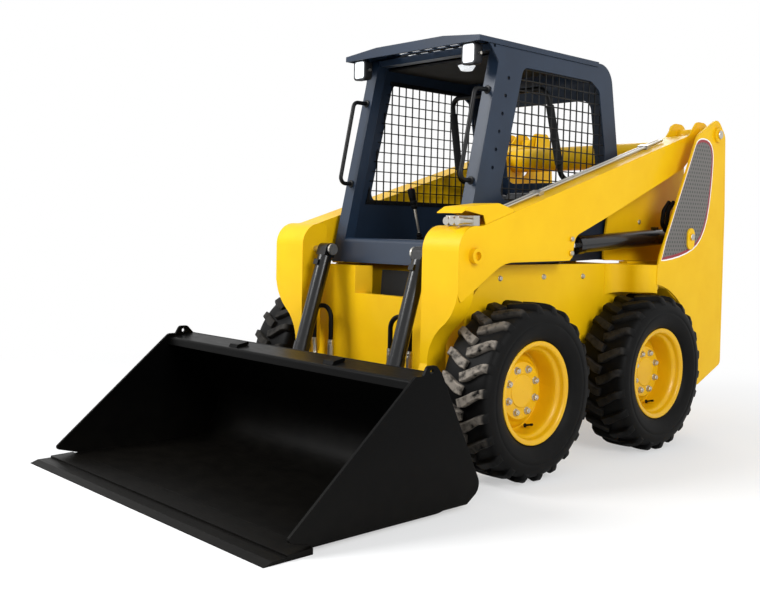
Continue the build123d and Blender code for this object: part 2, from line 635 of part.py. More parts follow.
cover_inner_x = 470
cover_rear_y = -150
with BuildPart() as coupler_cover:
    plate(cover_inner_x, arm_outer_x - 2, (-480, 1140), (-436, 1164, 24), (-250, 1184, 60),
          (cover_rear_y, arm_top_z(cover_rear_y) + 12), (cover_rear_y, arm_top_z(cover_rear_y) + 7),
          (-250, 1179, 55), (-434, 1159, 20), (-480, 1135))
    for x_from in (cover_inner_x, arm_outer_x - 7):
        plate(x_from, x_from + 5, (-330, arm_top_z(-330) + seat_gap), (-345, 1130), (-460, 1147), (-436, 1164, 24),
              (-250, 1184, 60), (cover_rear_y, arm_top_z(cover_rear_y) + 12),
              (cover_rear_y, arm_top_z(cover_rear_y) + seat_gap))
write(coupler_cover.part, "coupler_cover")

line_radius = 7
line_rise = 12
line_end_y = 1150
with BuildPart() as coupler_lines:
    for line_x in (505, 535):
        start_y = cover_rear_y + 6
        run = Vector(0, line_end_y - start_y, arm_top_z(line_end_y) - arm_top_z(start_y))
        with BuildSketch(Plane(origin=(line_x, start_y, arm_top_z(start_y) + line_rise), z_dir=run)) as line_ring:
            Circle(line_radius)
        extrude(line_ring.sketch, amount=run.length)
    for clamp_y in (120, 1000):
        plate(490, 550, (clamp_y - 16, arm_top_z(clamp_y - 16) + seat_gap),
              (clamp_y + 16, arm_top_z(clamp_y + 16) + seat_gap),
              (clamp_y + 16, arm_top_z(clamp_y + 16) + 22), (clamp_y - 16, arm_top_z(clamp_y - 16) + 22))
write(coupler_lines.part, "coupler_lines")

# Hoses of the tilt cylinders: each an arch between two fittings on the boom's front tube
hose_radius = 11
hose_y = -428
hose_foot_z = 500
hose_loops = ((150, 274, 677), (-262, -386, 690))
with BuildPart() as hose_fittings:
    for x_from, x_to, _ in hose_loops:
        low_x = min(x_from, x_to) - 10
        high_x = max(x_from, x_to) + 10
        block(low_x, high_x, front_tube_y - 4, hose_y + 20, front_tube_z + 20, front_tube_z + front_tube_radius + 14)
        for foot_x in (x_from, x_to):
            with BuildSketch(Plane.XY.offset(front_tube_z + front_tube_radius + 13)):
                with Locations((foot_x, hose_y)):
                    RegularPolygon(hose_radius + 4, 6)
            extrude(amount=hose_foot_z - seat_gap - front_tube_z - front_tube_radius - 13)
    crosswise(-knee_inner_x, knee_inner_x, front_tube_y, front_tube_z, front_tube_radius + seat_gap, mode=Mode.SUBTRACT)
write(hose_fittings.part, "hose_fittings")

with BuildPart() as tilt_hoses:
    for x_from, x_to, top_z in hose_loops:
        bent_tube(hose_radius, abs(x_to - x_from) / 2 - 4, (x_from, hose_y, hose_foot_z), (x_from, hose_y, top_z),
                  (x_to, hose_y, top_z), (x_to, hose_y, hose_foot_z))
write(tilt_hoses.part, "tilt_hoses")


def cylinder_pair(prefix, x, base, eye, barrel_radius, rod_radius, eye_radius, barrel_share, rod_start,
                  bore_room):
    """Write a barrel and a rod, each as one node, on the line from the base pin to the rod's eye."""
    length = hypot(eye[0] - base[0], eye[1] - base[1])
    along = Vector(0, (eye[0] - base[0]) / length, (eye[1] - base[1]) / length)
    barrel_end = length * barrel_share
    line = Plane(origin=(x, base[0], base[1]), x_dir=(1, 0, 0), z_dir=along)
    neck = eye_radius + 6
    with BuildPart() as barrel:
        crosswise(x - 32, x + 32, base[0], base[1], eye_radius)
        with BuildSketch(line):
            Rectangle(64, 2 * eye_radius)
        extrude(amount=neck)
        with BuildSketch(line.offset(neck)):
            Circle(barrel_radius)
        extrude(amount=barrel_end - neck)
        with BuildSketch(line.offset(barrel_end - 45)):
            Circle(barrel_radius + 4)
        extrude(amount=45)
        with BuildSketch(line.offset(neck + 26)):
            with Locations((0, barrel_radius)):
                Rectangle(30, 22)
        extrude(amount=26)
        crosswise(x - 40, x + 40, base[0], base[1], cylinder_pin_radius + seat_gap, mode=Mode.SUBTRACT)
        with BuildSketch(line.offset(rod_start - bore_room)):
            Circle(rod_radius + seat_gap)
        extrude(amount=length, mode=Mode.SUBTRACT)
    with BuildPart() as rod:
        with BuildSketch(line.offset(rod_start)):
            Circle(rod_radius)
        extrude(amount=length - rod_start - neck)
        with BuildSketch(line.offset(length - neck - 1)):
            Rectangle(2 * rod_radius + 4, 2 * rod_radius + 4)
        extrude(amount=neck + 1)
        crosswise(x - 28, x + 28, eye[0], eye[1], eye_radius)
    for side_name, flip in (("left", False), ("right", True)):
        for kind, source in (("barrel", barrel.part), ("rod", rod.part)):
            shape = mirrored(source) if flip else source
            write(shape, f"{side_name}_{prefix}_{kind}")


lift_cylinder_x = (arm_outer_x + arm_inner_x) / 2
cylinder_pair("lift", lift_cylinder_x, (lift_base_y, lift_base_z), (lift_pin_y, lift_pin_z), lift_barrel_radius,
              lift_rod_radius, 34, 0.86, 84, 10)
cylinder_pair("tilt", tilt_cylinder_x, (tilt_pin_y, tilt_pin_z), (rod_pin_y, rod_pin_z), tilt_barrel_radius,
              tilt_rod_radius, 30, 0.72, 132, 50)

# Bucket: floor, curved back and top rail as one shell, with two side plates and their top lugs
back_heel = (-595, 75)
back_top = (-832, 538)
lean = atan2(back_top[1] - back_heel[1], back_top[0] - back_heel[0])
corner_y = back_heel[0] - (back_heel[1] - bucket_floor_z) / tan(lean)
half_wedge = (pi - lean) / 2
tangent = bucket_back_radius / tan(half_wedge)
floor_start = (corner_y - tangent, bucket_floor_z)
back_start = (corner_y + tangent * cos(lean), bucket_floor_z + tangent * sin(lean))
side_outline = [
    (-1541, 54, 12),
    (-965, 538, 30),
    (-925, 538),
    (-905, 572, 18),
    (-862, 572, 18),
    (back_top[0] + 3, back_top[1]),
    (back_heel[0] + 3, back_heel[1], 50),
    (-674, 22),
    (-1425, 22),
]
floor_front_y = -1440
with BuildPart() as bucket_shell:
    with BuildSketch(Plane.YZ.offset(-bucket_half_width + side_plate / 2)) as shell_section:
        with BuildLine():
            inner_top = (back_top[0] - bucket_plate * sin(lean), back_top[1] + bucket_plate * cos(lean))
            inner_back = (back_start[0] - bucket_plate * sin(lean), back_start[1] + bucket_plate * cos(lean))
            inner_floor = (floor_start[0], bucket_floor_z + bucket_plate)
            Line((floor_front_y, bucket_floor_z), floor_start)
            TangentArc(floor_start, back_start, tangent=(1, 0))
            Polyline(back_start, back_top, inner_top, inner_back)
            TangentArc(inner_back, inner_floor, tangent=(-cos(lean), -sin(lean)))
            Polyline(inner_floor, (floor_front_y, bucket_floor_z + bucket_plate), (floor_front_y, bucket_floor_z))
        make_face()
    extrude(amount=2 * (bucket_half_width - side_plate / 2))
    for side in (1, -1):
        plate(side * (bucket_half_width - side_plate), side * bucket_half_width, *side_outline)
        crosswise(side * (bucket_half_width - side_plate - 1), side * (bucket_half_width + 1), -884, 550, 9,
                  mode=Mode.SUBTRACT)
        plate(side * 300, side * 360, (-880, 531), (-872, 548, 6), (-936, 536, 6), (-950, 512))
    rail_end = bucket_half_width - side_plate / 2
    plate(-rail_end, rail_end, (back_top[0] - 1, back_top[1] - 2), (-960, 520, 14), (-968, 486), (-960, 484),
          (-953, 509, 8), (-830, 527))
write(bucket_shell.part, "bucket_shell")

# Cutting edge in two steps: a bevelled blade below and a shorter plate on it
with BuildPart() as cutting_edge:
    plate(-lip_half_width, lip_half_width, (lip_y, 0), (lip_y + 36, 12), (edge_step_y, 12), (edge_step_y, 20),
          (floor_front_y - seat_gap, 22), (floor_front_y - seat_gap, 0))
write(cutting_edge.part, "cutting_edge")

# Quick-attach carriage: two plates on the bucket's back, a cross bar and ears for the pins
back_dir = (cos(lean), sin(lean))
back_normal = (sin(lean), -cos(lean))


def on_back(along, out):
    """The (y, z) point that far up the bucket's back from its heel and that far behind it."""
    return (back_heel[0] + back_dir[0] * along + back_normal[0] * out,
            back_heel[1] + back_dir[1] * along + back_normal[1] * out)


ear_gap = tilt_barrel_radius
ear_plate = 16
with BuildPart() as carriage:
    for side in (1, -1):
        plate(side * 250, side * 560, on_back(190, seat_gap), on_back(430, seat_gap), on_back(430, 14), on_back(190, 14))
    plate(-560, 560, on_back(240, 13), on_back(320, 13), on_back(320, 26), on_back(240, 26))
    for side in (1, -1):
        plate(side * (tilt_cylinder_x - ear_gap), side * (tilt_cylinder_x + ear_gap), on_back(205, -1),
              on_back(432, -1), on_back(432, 40), on_back(205, 40), mode=Mode.SUBTRACT)
        for x_from in (tilt_cylinder_x - ear_gap - ear_plate, tilt_cylinder_x + ear_gap):
            plate(side * x_from, side * (x_from + ear_plate), on_back(430, 13), on_back(190, 13),
                  (hinge_y - 30, hinge_z - 34), (hinge_y + 20, hinge_z - 36, 20), (hinge_y + 40, hinge_z, 20),
                  (rod_pin_y + 36, rod_pin_z, 24), (rod_pin_y + 16, rod_pin_z + 36, 24), on_back(430, 60))
        plate(side * (leg_outer_x + 5), side * (leg_outer_x + 21), on_back(400, 13), on_back(190, 13),
              (hinge_y - 30, hinge_z - 34), (hinge_y + 20, hinge_z - 36, 20), (hinge_y + 42, hinge_z, 20),
              (hinge_y, hinge_z + 60), on_back(400, 40))
        crosswise(side * (tilt_cylinder_x + ear_gap + ear_plate - 1), side * (leg_outer_x + 6), hinge_y, hinge_z,
                  cylinder_pin_radius)
        block(side * 520, side * 545, *[on_back(300, 0)[0] + shift for shift in (8, 60)],
              *[on_back(300, 0)[1] + shift for shift in (-14, 14)])
write(carriage.part, "carriage")

# Cab: channel posts, side panels with rounded windows and screens, roof, rear panel, floor pan, seat and controls
cab_front_low = (-222, 1168)
cab_front_high = (-75, 1795)


def front_post_y(z):
    return cab_front_low[0] + (z - cab_front_low[1]) * (cab_front_high[0] - cab_front_low[0]) / (
        cab_front_high[1] - cab_front_low[1])


def cab_z(share):
    """The height at that share of the way from the sill to the roof's edge."""
    return sill_z + share * (roof_z - sill_z)


post_depth = 60
panel_top_z = roof_z - roof_sheet - seat_gap
window_low_z = cab_z(0.30)
window_top_z = cab_z(0.90)
rear_top_y = 804
rear_knee = (895, cab_z(0.536))
rear_heel = (930, cab_z(0.285))
side_panel_outline = [
    (front_post_y(sill_z) + post_depth - 2, sill_z),
    (front_post_y(panel_top_z - 90) - 2, panel_top_z - 90, 20),
    (front_post_y(panel_top_z) - 88, panel_top_z - 18, 12),
    (front_post_y(panel_top_z) - 88, panel_top_z),
    (rear_top_y, panel_top_z, 110),
    rear_knee,
    rear_heel,
    (930, 940, 20),
]
window_outline = [
    (-45, window_low_z, 45),
    (105, window_top_z, 45),
    (640, window_top_z, 60),
    (712, cab_z(0.86), 40),
    (775, cab_z(0.58)),
    (806, window_low_z, 45),
]
with BuildPart() as cab_frame:
    for side in (1, -1):
        plate(side * (cab_half_width - cab_post), side * cab_half_width,
              (front_post_y(sill_z), sill_z), (front_post_y(panel_top_z), panel_top_z),
              (front_post_y(panel_top_z) + post_depth, panel_top_z), (front_post_y(sill_z) + post_depth, sill_z))
        plate(side * (cab_half_width - cab_post + 8), side * (cab_half_width - cab_sheet),
              (front_post_y(sill_z + 130) + 8, sill_z + 130), (front_post_y(panel_top_z - 12) + 8, panel_top_z - 12),
              (front_post_y(panel_top_z - 12) + post_depth + 1, panel_top_z - 12),
              (front_post_y(sill_z + 130) + post_depth + 1, sill_z + 130), mode=Mode.SUBTRACT)
        plate(side * (cab_half_width - cab_sheet), side * cab_half_width, *side_panel_outline)
        plate(side * (cab_half_width - cab_sheet - 1), side * (cab_half_width + 1), *window_outline,
              mode=Mode.SUBTRACT)
        for index in range(6):
            hole_z = cab_z(0.44 + index * 0.08)
            crosswise(side * (cab_half_width - cab_sheet - 1), side * (cab_half_width + 1),
                      front_post_y(hole_z) + 88, hole_z, 9, mode=Mode.SUBTRACT)
        crosswise(side * (cab_half_width - cab_sheet - 1), side * (cab_half_width + 1),
                  front_post_y(panel_top_z) - 52, panel_top_z - 26, 8, mode=Mode.SUBTRACT)
    plate(-cab_half_width, cab_half_width, (front_post_y(sill_z), sill_z), (front_post_y(sill_z + 118), sill_z + 118, 24),
          (front_post_y(sill_z + 118) + post_depth, sill_z + 118, 24), (front_post_y(sill_z) + post_depth, sill_z))
    block(-cab_half_width + cab_post - 1, cab_half_width - cab_post + 1, front_post_y(panel_top_z) + 4,
          front_post_y(panel_top_z) + post_depth - 4, panel_top_z - 30, panel_top_z)
write(cab_frame.part, "cab_frame")

screen_outline = [(-75, window_low_z - 14), (88, window_top_z + 14), (648, window_top_z + 14),
                  (724, cab_z(0.87)), (788, cab_z(0.58)), (822, window_low_z - 14)]
screen_columns = 17
screen_rows = int((window_top_z - window_low_z) / screen_pitch)
screen_gap = screen_pitch - screen_wire
with BuildPart() as cab_screens:
    for side in (1, -1):
        for layer, columns, rows, gap in ((0, 1, screen_rows, (2000, screen_gap)),
                                          (1, screen_columns, 1, (screen_gap, 2000))):
            layer_x = side * (cab_half_width - cab_sheet - seat_gap - layer * screen_wire)
            with BuildSketch(Plane.YZ.offset(layer_x)) as wires:
                with BuildLine():
                    Polyline(*screen_outline, close=True)
                make_face()
                with Locations((370, (window_low_z + window_top_z) / 2)):
                    with GridLocations(screen_pitch, screen_pitch, columns, rows):
                        Rectangle(*gap, mode=Mode.SUBTRACT)
            extrude(wires.sketch, amount=-side * screen_wire)
write(cab_screens.part, "cab_screens")

roof_half_width = cab_half_width + seat_gap + roof_sheet


def roof_under_z(x):
    """The height of the roof's underside at that distance from the middle."""
    share = (cab_half_width - max(abs(x), roof_flat_half_width)) / (cab_half_width - roof_flat_half_width)
    return roof_z - roof_sheet + roof_crown * share


def roof_section(y, outline):
    with BuildSketch(Plane.XZ.offset(-y)) as section:
        with BuildLine():
            Polyline(*outline, close=True)
        make_face()
    return section.sketch


with BuildPart() as cab_roof:
    top_line = [(-roof_half_width, roof_z - 2), (-roof_flat_half_width, roof_z + roof_crown),
                (roof_flat_half_width, roof_z + roof_crown), (roof_half_width, roof_z - 2)]
    extrude(roof_section(roof_front_y, top_line + [
        (roof_half_width, roof_z - roof_lip), (cab_half_width + seat_gap, roof_z - roof_lip),
        (cab_half_width + seat_gap, roof_z - roof_sheet), (roof_flat_half_width, roof_z + roof_crown - roof_sheet),
        (-roof_flat_half_width, roof_z + roof_crown - roof_sheet), (-cab_half_width - seat_gap, roof_z - roof_sheet),
        (-cab_half_width - seat_gap, roof_z - roof_lip), (-roof_half_width, roof_z - roof_lip)]),
        amount=-(roof_rear_y - roof_front_y))
    for y in (roof_front_y, roof_rear_y - roof_sheet):
        low_z = roof_z - roof_lip if y == roof_front_y else roof_z - roof_sheet
        extrude(roof_section(y, top_line + [(roof_half_width, low_z), (-roof_half_width, low_z)]),
                amount=-roof_sheet)
    slot_half = 35
    for row in range(roof_slot_rows):
        slot_y = roof_front_y + 62 + row * 58
        for column in range(roof_slot_count):
            slot_x = (column - (roof_slot_count - 1) / 2) * 84
            block(slot_x - slot_half, slot_x + slot_half, slot_y - 14, slot_y + 14, roof_z - roof_sheet,
                  roof_z + roof_crown + 1, mode=Mode.SUBTRACT)
write(cab_roof.part, "cab_roof")

liner_x = cab_half_width - cab_sheet - seat_gap
with BuildPart() as headliner:
    block(-liner_x, liner_x, 75, roof_rear_y - 20, roof_z - 37, roof_z - 29)
write(headliner.part, "headliner")

with BuildPart() as cab_rear_panel:
    plate(-liner_x, liner_x, (roof_rear_y + 6, panel_top_z - 1), (rear_top_y, panel_top_z - 1, 110), rear_knee,
          rear_heel, (930, 940), (922, 940), (922, rear_heel[1]), (rear_knee[0] - 8, rear_knee[1]),
          (rear_top_y - 7, panel_top_z - 9, 102), (roof_rear_y + 6, panel_top_z - 9))
    front_plate(roof_rear_y + 10, 960, (-300, cab_z(0.43), 50), (300, cab_z(0.43), 50), (300, cab_z(0.84), 50),
                (-300, cab_z(0.84), 50), mode=Mode.SUBTRACT)
    for side in (1, -1):
        plate(side * 360, side * 370, (670, 1290), (670, 1360, 20), (720, 1370), (rear_knee[0], 1380),
              (rear_knee[0] + 12, 1280))
        crosswise(side * 322, side * 361, 700, 1325, restraint_pin_radius)
write(cab_rear_panel.part, "cab_rear_panel")

with BuildPart() as cab_floor:
    block(-400, 400, frame_front_y + frame_plate + seat_gap, 320, 440, 450)
    block(-400, 400, 320, 330, 440, sill_z)
    block(-400, 400, 330, 900, sill_z - 10, sill_z)
    for side in (1, -1):
        block(side * 160, side * 245, 80, 321, sill_z - 14, sill_z)
        block(side * 160, side * 245, 80, 92, 449, sill_z - 1)
    plate(-120, 120, (-262, 449), (-232, 870), (-224, 870), (-252, 449))
write(cab_floor.part, "cab_floor")

with BuildPart() as seat:
    plate(-240, 240, (370, sill_z + seat_gap), (350, 990, 30), (380, 1012, 20), (700, 1000), (706, sill_z + seat_gap))
    plate(-225, 225, (660, sill_z + seat_gap), (680, 1010), (712, 1250, 40), (736, 1296, 24), (775, 1290, 24),
          (790, 1240), (778, sill_z + seat_gap))
write(seat.part, "seat")

with BuildPart() as control_levers:
    for side in (1, -1):
        block(side * (lever_x - 32), side * (lever_x + 32), 96, 150, sill_z + seat_gap, 962)
        lever_line = Plane(origin=(side * lever_x, 118, 961), z_dir=(side * 22, -68, 312))
        with BuildSketch(lever_line):
            RegularPolygon(27, 12)
        with BuildSketch(lever_line.offset(92)):
            RegularPolygon(12, 12)
        loft(ruled=True)
        with BuildSketch(lever_line.offset(91)):
            RegularPolygon(8, 12)
        extrude(amount=130)
        with BuildSketch(lever_line.offset(215)):
            RegularPolygon(15, 12)
        with BuildSketch(lever_line.offset(320)):
            RegularPolygon(20, 12)
        loft(ruled=True)
write(control_levers.part, "control_levers")

lamp_middle_x = 360
lamp_middle_z = roof_z - 71
lamp_half_width = 42
lamp_half_height = 50
with BuildPart() as work_lamps:
    for side in (1, -1):
        corners = [(side * (lamp_middle_x + across * lamp_half_width), lamp_middle_z + up * lamp_half_height, 16)
                   for across, up in ((-1, -1), (1, -1), (1, 1), (-1, 1))]
        front_plate(-190, -132, *corners)
        inner_corners = [(side * (lamp_middle_x + across * (lamp_half_width - 6)),
                          lamp_middle_z + up * (lamp_half_height - 6), 11)
                         for across, up in ((-1, -1), (1, -1), (1, 1), (-1, 1))]
        front_plate(-191, -184, *inner_corners, mode=Mode.SUBTRACT)
        block(side * (lamp_middle_x - 12), side * (lamp_middle_x + 12), -168, -154, lamp_middle_z + lamp_half_height - 2,
              roof_under_z(lamp_middle_x + 12) - seat_gap)
write(work_lamps.part, "work_lamps")

handle_x = 400
handle_radius = 10
handle_low_z = cab_z(0.38)
handle_high_z = cab_z(0.78)
with BuildPart() as grab_handles:
    for side in (1, -1):
        bent_tube(
            handle_radius,
            26,
            (side * handle_x, front_post_y(handle_high_z - handle_radius) - seat_gap, handle_high_z),
            (side * handle_x, front_post_y(handle_high_z) - 86, handle_high_z),
            (side * handle_x, front_post_y(handle_low_z + 40) - 86, handle_low_z),
            (side * handle_x, front_post_y(handle_low_z - handle_radius) - seat_gap, handle_low_z),
        )
write(grab_handles.part, "grab_handles")

with BuildPart() as dome_lamp:
    with BuildSketch(Plane.XY.offset(roof_z - 37 - seat_gap)) as dome_high:
        with Locations((0, 200)):
            RegularPolygon(44, 24)
    with BuildSketch(Plane.XY.offset(roof_z - 60)) as dome_low:
        with Locations((0, 200)):
            RegularPolygon(30, 24)
    loft([dome_low.sketch, dome_high.sketch], ruled=True)
write(dome_lamp.part, "dome_lamp")

# Seat bar that swings down over the lap
restraint_pivot_y = 700
restraint_pivot_z = 1325
restraint_x = 340
restraint_tube = 13
with BuildPart() as restraint_bar:
    bent_tube(
        restraint_tube,
        60,
        (restraint_x, restraint_pivot_y - 20, restraint_pivot_z),
        (restraint_x, 545, restraint_pivot_z + 10),
        (restraint_x - 24, 440, 1770),
        (-restraint_x + 24, 440, 1770),
        (-restraint_x, 545, restraint_pivot_z + 10),
        (-restraint_x, restraint_pivot_y - 20, restraint_pivot_z),
    )
    for side in (1, -1):
        crosswise(side * (restraint_x - 14), side * (restraint_x + 14), restraint_pivot_y, restraint_pivot_z, 30)
        crosswise(side * (restraint_x - 15), side * (restraint_x + 15), restraint_pivot_y, restraint_pivot_z,
                  restraint_pin_radius + seat_gap, mode=Mode.SUBTRACT)
write(restraint_bar.part, "restraint_bar")
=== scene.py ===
"""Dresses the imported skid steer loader: paint, rubber, steel, small fasteners and the studio around it."""

from math import atan2, cos, pi, radians, sin, tan

import bmesh
import bpy
from mathutils import Matrix, Vector


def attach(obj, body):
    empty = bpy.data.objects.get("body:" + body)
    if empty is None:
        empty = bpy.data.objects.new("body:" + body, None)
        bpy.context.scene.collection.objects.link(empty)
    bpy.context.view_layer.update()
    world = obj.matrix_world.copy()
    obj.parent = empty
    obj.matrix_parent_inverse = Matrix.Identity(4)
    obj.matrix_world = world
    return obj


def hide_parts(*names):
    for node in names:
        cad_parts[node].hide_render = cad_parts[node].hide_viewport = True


bl_info = {
    "name": "Skid steer loader dress",
    "version": (2, 0, 0),
    "blender": (4, 5, 0),
    "location": "View3D > Sidebar > Loader",
    "description": "Finishes and small pieces of a skid steer loader, around its packed frame",
    "category": "Object",
}

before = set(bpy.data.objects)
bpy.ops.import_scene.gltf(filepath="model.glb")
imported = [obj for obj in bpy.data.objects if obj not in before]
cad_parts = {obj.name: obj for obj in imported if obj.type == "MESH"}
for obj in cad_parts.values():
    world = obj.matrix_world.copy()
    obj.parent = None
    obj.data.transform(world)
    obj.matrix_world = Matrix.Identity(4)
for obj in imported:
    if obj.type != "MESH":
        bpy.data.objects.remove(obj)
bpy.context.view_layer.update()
MM = 0.001


def linear(hex_colour):
    """An sRGB hex colour as linear red, green, blue and alpha."""
    channels = [int(hex_colour[i:i + 2], 16) / 255 for i in (1, 3, 5)]
    return [c / 12.92 if c <= 0.04045 else ((c + 0.055) / 1.055) ** 2.4 for c in channels] + [1.0]


def add_node(tree, kind, settings=None, links=None):
    """Add one shader node, with its settings and with the sockets that feed it."""
    node = tree.nodes.new(kind)
    for key, value in (settings or {}).items():
        if isinstance(key, int) or key in node.inputs:
            node.inputs[key].default_value = value
        else:
            setattr(node, key, value)
    for key, source in (links or {}).items():
        tree.links.new(source, node.inputs[key])
    return node


def new_material(name):
    """An empty node material, its tree and each point's place in the machine's frame."""
    material = bpy.data.materials.new(name)
    material.use_nodes = True
    tree = material.node_tree
    tree.nodes.clear()
    return material, tree, add_node(tree, "ShaderNodeTexCoord").outputs["Object"]


def finish_material(material, shader):
    """The material with the shader as its surface."""
    add_node(material.node_tree, "ShaderNodeOutputMaterial", links={"Surface": shader.outputs[0]})
    return material


def mottled_colour(tree, point, base, other, scale, low=0.35, high=0.75, detail=4.0):
    """Two hex colours mixed by noise, where scale is in cycles per metre."""
    noise = add_node(tree, "ShaderNodeTexNoise", {"Scale": scale, "Detail": detail}, {"Vector": point})
    ramp = add_node(tree, "ShaderNodeValToRGB", links={"Fac": noise.outputs["Fac"]})
    ramp.color_ramp.elements[0].position = low
    ramp.color_ramp.elements[1].position = high
    ramp.color_ramp.elements[0].color = linear(base)
    ramp.color_ramp.elements[1].color = linear(other)
    return ramp.outputs["Color"], noise.outputs["Fac"]


def sprayed_enamel(name, base, other, roughness, coat, peel_mm=1.6, peel_depth=0.12, shine=0.3):
    """Enamel sprayed on steel plate: a skin with a faint orange peel and edges that catch the light."""
    material, tree, point = new_material(name)
    colour, cloud = mottled_colour(tree, point, base, other, 6.0)
    peel = add_node(
        tree, "ShaderNodeTexNoise", {"Scale": 1 / (peel_mm * MM), "Detail": 1.0}, {"Vector": point}
    )
    edge = add_node(tree, "ShaderNodeBevel", {"samples": 4, "Radius": 2.5 * MM})
    bump = add_node(
        tree, "ShaderNodeBump", {"Strength": peel_depth, "Distance": 0.2 * MM},
        {"Height": peel.outputs["Fac"], "Normal": edge.outputs["Normal"]},
    )
    rough = add_node(
        tree, "ShaderNodeMapRange", {"To Min": roughness * 0.85, "To Max": roughness * 1.25}, {"Value": cloud}
    )
    shader = add_node(
        tree, "ShaderNodeBsdfPrincipled",
        {"Coat Weight": coat, "Coat Roughness": 0.08, "Specular IOR Level": shine},
        {"Base Color": colour, "Roughness": rough.outputs["Result"], "Normal": bump.outputs["Normal"]},
    )
    return finish_material(material, shader)


def dusty_enamel(name, base, dust_and_highlight, roughness):
    """Black enamel on the bucket: scuffed to a dull film, with dry dust that settles low down."""
    material, tree, point = new_material(name)
    # The scuffs run across the bucket, so the noise is drawn out along X: about 60 mm by 4 mm.
    stretch = add_node(tree, "ShaderNodeMapping", {"Scale": (16.0, 240.0, 240.0)}, {"Vector": point})
    scuff = add_node(
        tree, "ShaderNodeTexNoise", {"Scale": 1.0, "Detail": 3.0}, {"Vector": stretch.outputs[0]}
    )
    height = add_node(tree, "ShaderNodeSeparateXYZ", links={"Vector": point})
    low = add_node(
        tree, "ShaderNodeMapRange", {"From Min": 0.32, "From Max": 0.0, "To Min": 0.0, "To Max": 0.12},
        {"Value": height.outputs["Z"]},
    )
    cloud = add_node(tree, "ShaderNodeTexNoise", {"Scale": 14.0, "Detail": 7.0}, {"Vector": point})
    thick = add_node(
        tree, "ShaderNodeMath", {"operation": "MULTIPLY"}, {0: low.outputs[0], 1: cloud.outputs["Fac"]}
    )
    colour = add_node(
        tree, "ShaderNodeMix", {"data_type": "RGBA", 6: linear(base), 7: linear(dust_and_highlight)},
        {0: thick.outputs[0]},
    )
    rough = add_node(
        tree, "ShaderNodeMapRange", {"To Min": roughness * 0.7, "To Max": roughness * 1.4},
        {"Value": scuff.outputs["Fac"]},
    )
    edge = add_node(tree, "ShaderNodeBevel", {"samples": 4, "Radius": 3.0 * MM})
    shader = add_node(
        tree, "ShaderNodeBsdfPrincipled", {"Specular IOR Level": 0.06},
        {
            "Base Color": colour.outputs[2], "Roughness": rough.outputs["Result"],
            "Normal": edge.outputs["Normal"],
        },
    )
    return finish_material(material, shader)


def machined_steel(name, base, roughness, grain_mm=0.4):
    """Zinc plated or ground steel: bright metal with fine turning marks."""
    material, tree, point = new_material(name)
    grain = add_node(
        tree, "ShaderNodeTexNoise", {"Scale": 1 / (grain_mm * MM), "Detail": 2.0}, {"Vector": point}
    )
    rough = add_node(
        tree, "ShaderNodeMapRange", {"To Min": roughness * 0.7, "To Max": roughness * 1.3},
        {"Value": grain.outputs["Fac"]},
    )
    edge = add_node(tree, "ShaderNodeBevel", {"samples": 4, "Radius": 1.0 * MM})
    shader = add_node(
        tree, "ShaderNodeBsdfPrincipled", {"Metallic": 1.0, "Base Color": linear(base)},
        {"Roughness": rough.outputs["Result"], "Normal": edge.outputs["Normal"]},
    )
    return finish_material(material, shader)


def tyre_rubber(name, base, other, dust_and_highlight):
    """Vulcanised rubber: dull black, with dried mud and a painted sunlit highlight where the
    dust_and_highlight attribute of the lugs is high.
    """
    material, tree, point = new_material(name)
    colour = mottled_colour(tree, point, base, other, 22.0, 0.5, 0.95, 8.0)[0]
    dust_and_highlight_mask = add_node(tree, "ShaderNodeAttribute", {"attribute_name": "dust_and_highlight"})
    patch = add_node(tree, "ShaderNodeTexNoise", {"Scale": 35.0, "Detail": 6.0}, {"Vector": point})
    spread = add_node(
        tree, "ShaderNodeMapRange", {"From Min": 0.3, "From Max": 0.55}, {"Value": patch.outputs["Fac"]}
    )
    amount = add_node(
        tree, "ShaderNodeMath", {"operation": "MULTIPLY", "use_clamp": True},
        {0: dust_and_highlight_mask.outputs["Fac"], 1: spread.outputs[0]},
    )
    # The lug tops mix towards a light tint that is dried mud together with a painted sunlit highlight.
    lug_tint_with_highlight = add_node(
        tree, "ShaderNodeMix", {"data_type": "RGBA", 7: linear(dust_and_highlight)}, {0: amount.outputs[0], 6: colour}
    )
    skin = add_node(tree, "ShaderNodeTexNoise", {"Scale": 1 / (3.0 * MM), "Detail": 4.0}, {"Vector": point})
    edge = add_node(tree, "ShaderNodeBevel", {"samples": 4, "Radius": 3.0 * MM})
    bump = add_node(
        tree, "ShaderNodeBump", {"Strength": 0.3, "Distance": 0.5 * MM},
        {"Height": skin.outputs["Fac"], "Normal": edge.outputs["Normal"]},
    )
    shader = add_node(
        tree, "ShaderNodeBsdfPrincipled", {"Roughness": 0.55, "Specular IOR Level": 0.1},
        {"Base Color": lug_tint_with_highlight.outputs[2], "Normal": bump.outputs["Normal"]},
    )
    return finish_material(material, shader)


def grained_vinyl(name, base, other):
    """Moulded seat vinyl: a soft sheen over a leather grain, drawn at 4 mm so that it shows from afar."""
    material, tree, point = new_material(name)
    colour = mottled_colour(tree, point, base, other, 9.0)[0]
    cells = add_node(tree, "ShaderNodeTexVoronoi", {"Scale": 1 / (4.0 * MM)}, {"Vector": point})
    bump = add_node(
        tree, "ShaderNodeBump", {"Strength": 0.35, "Distance": 0.5 * MM},
        {"Height": cells.outputs["Distance"]},
    )
    shader = add_node(
        tree, "ShaderNodeBsdfPrincipled", {"Roughness": 0.55, "Sheen Weight": 0.15},
        {"Base Color": colour, "Normal": bump.outputs["Normal"]},
    )
    return finish_material(material, shader)


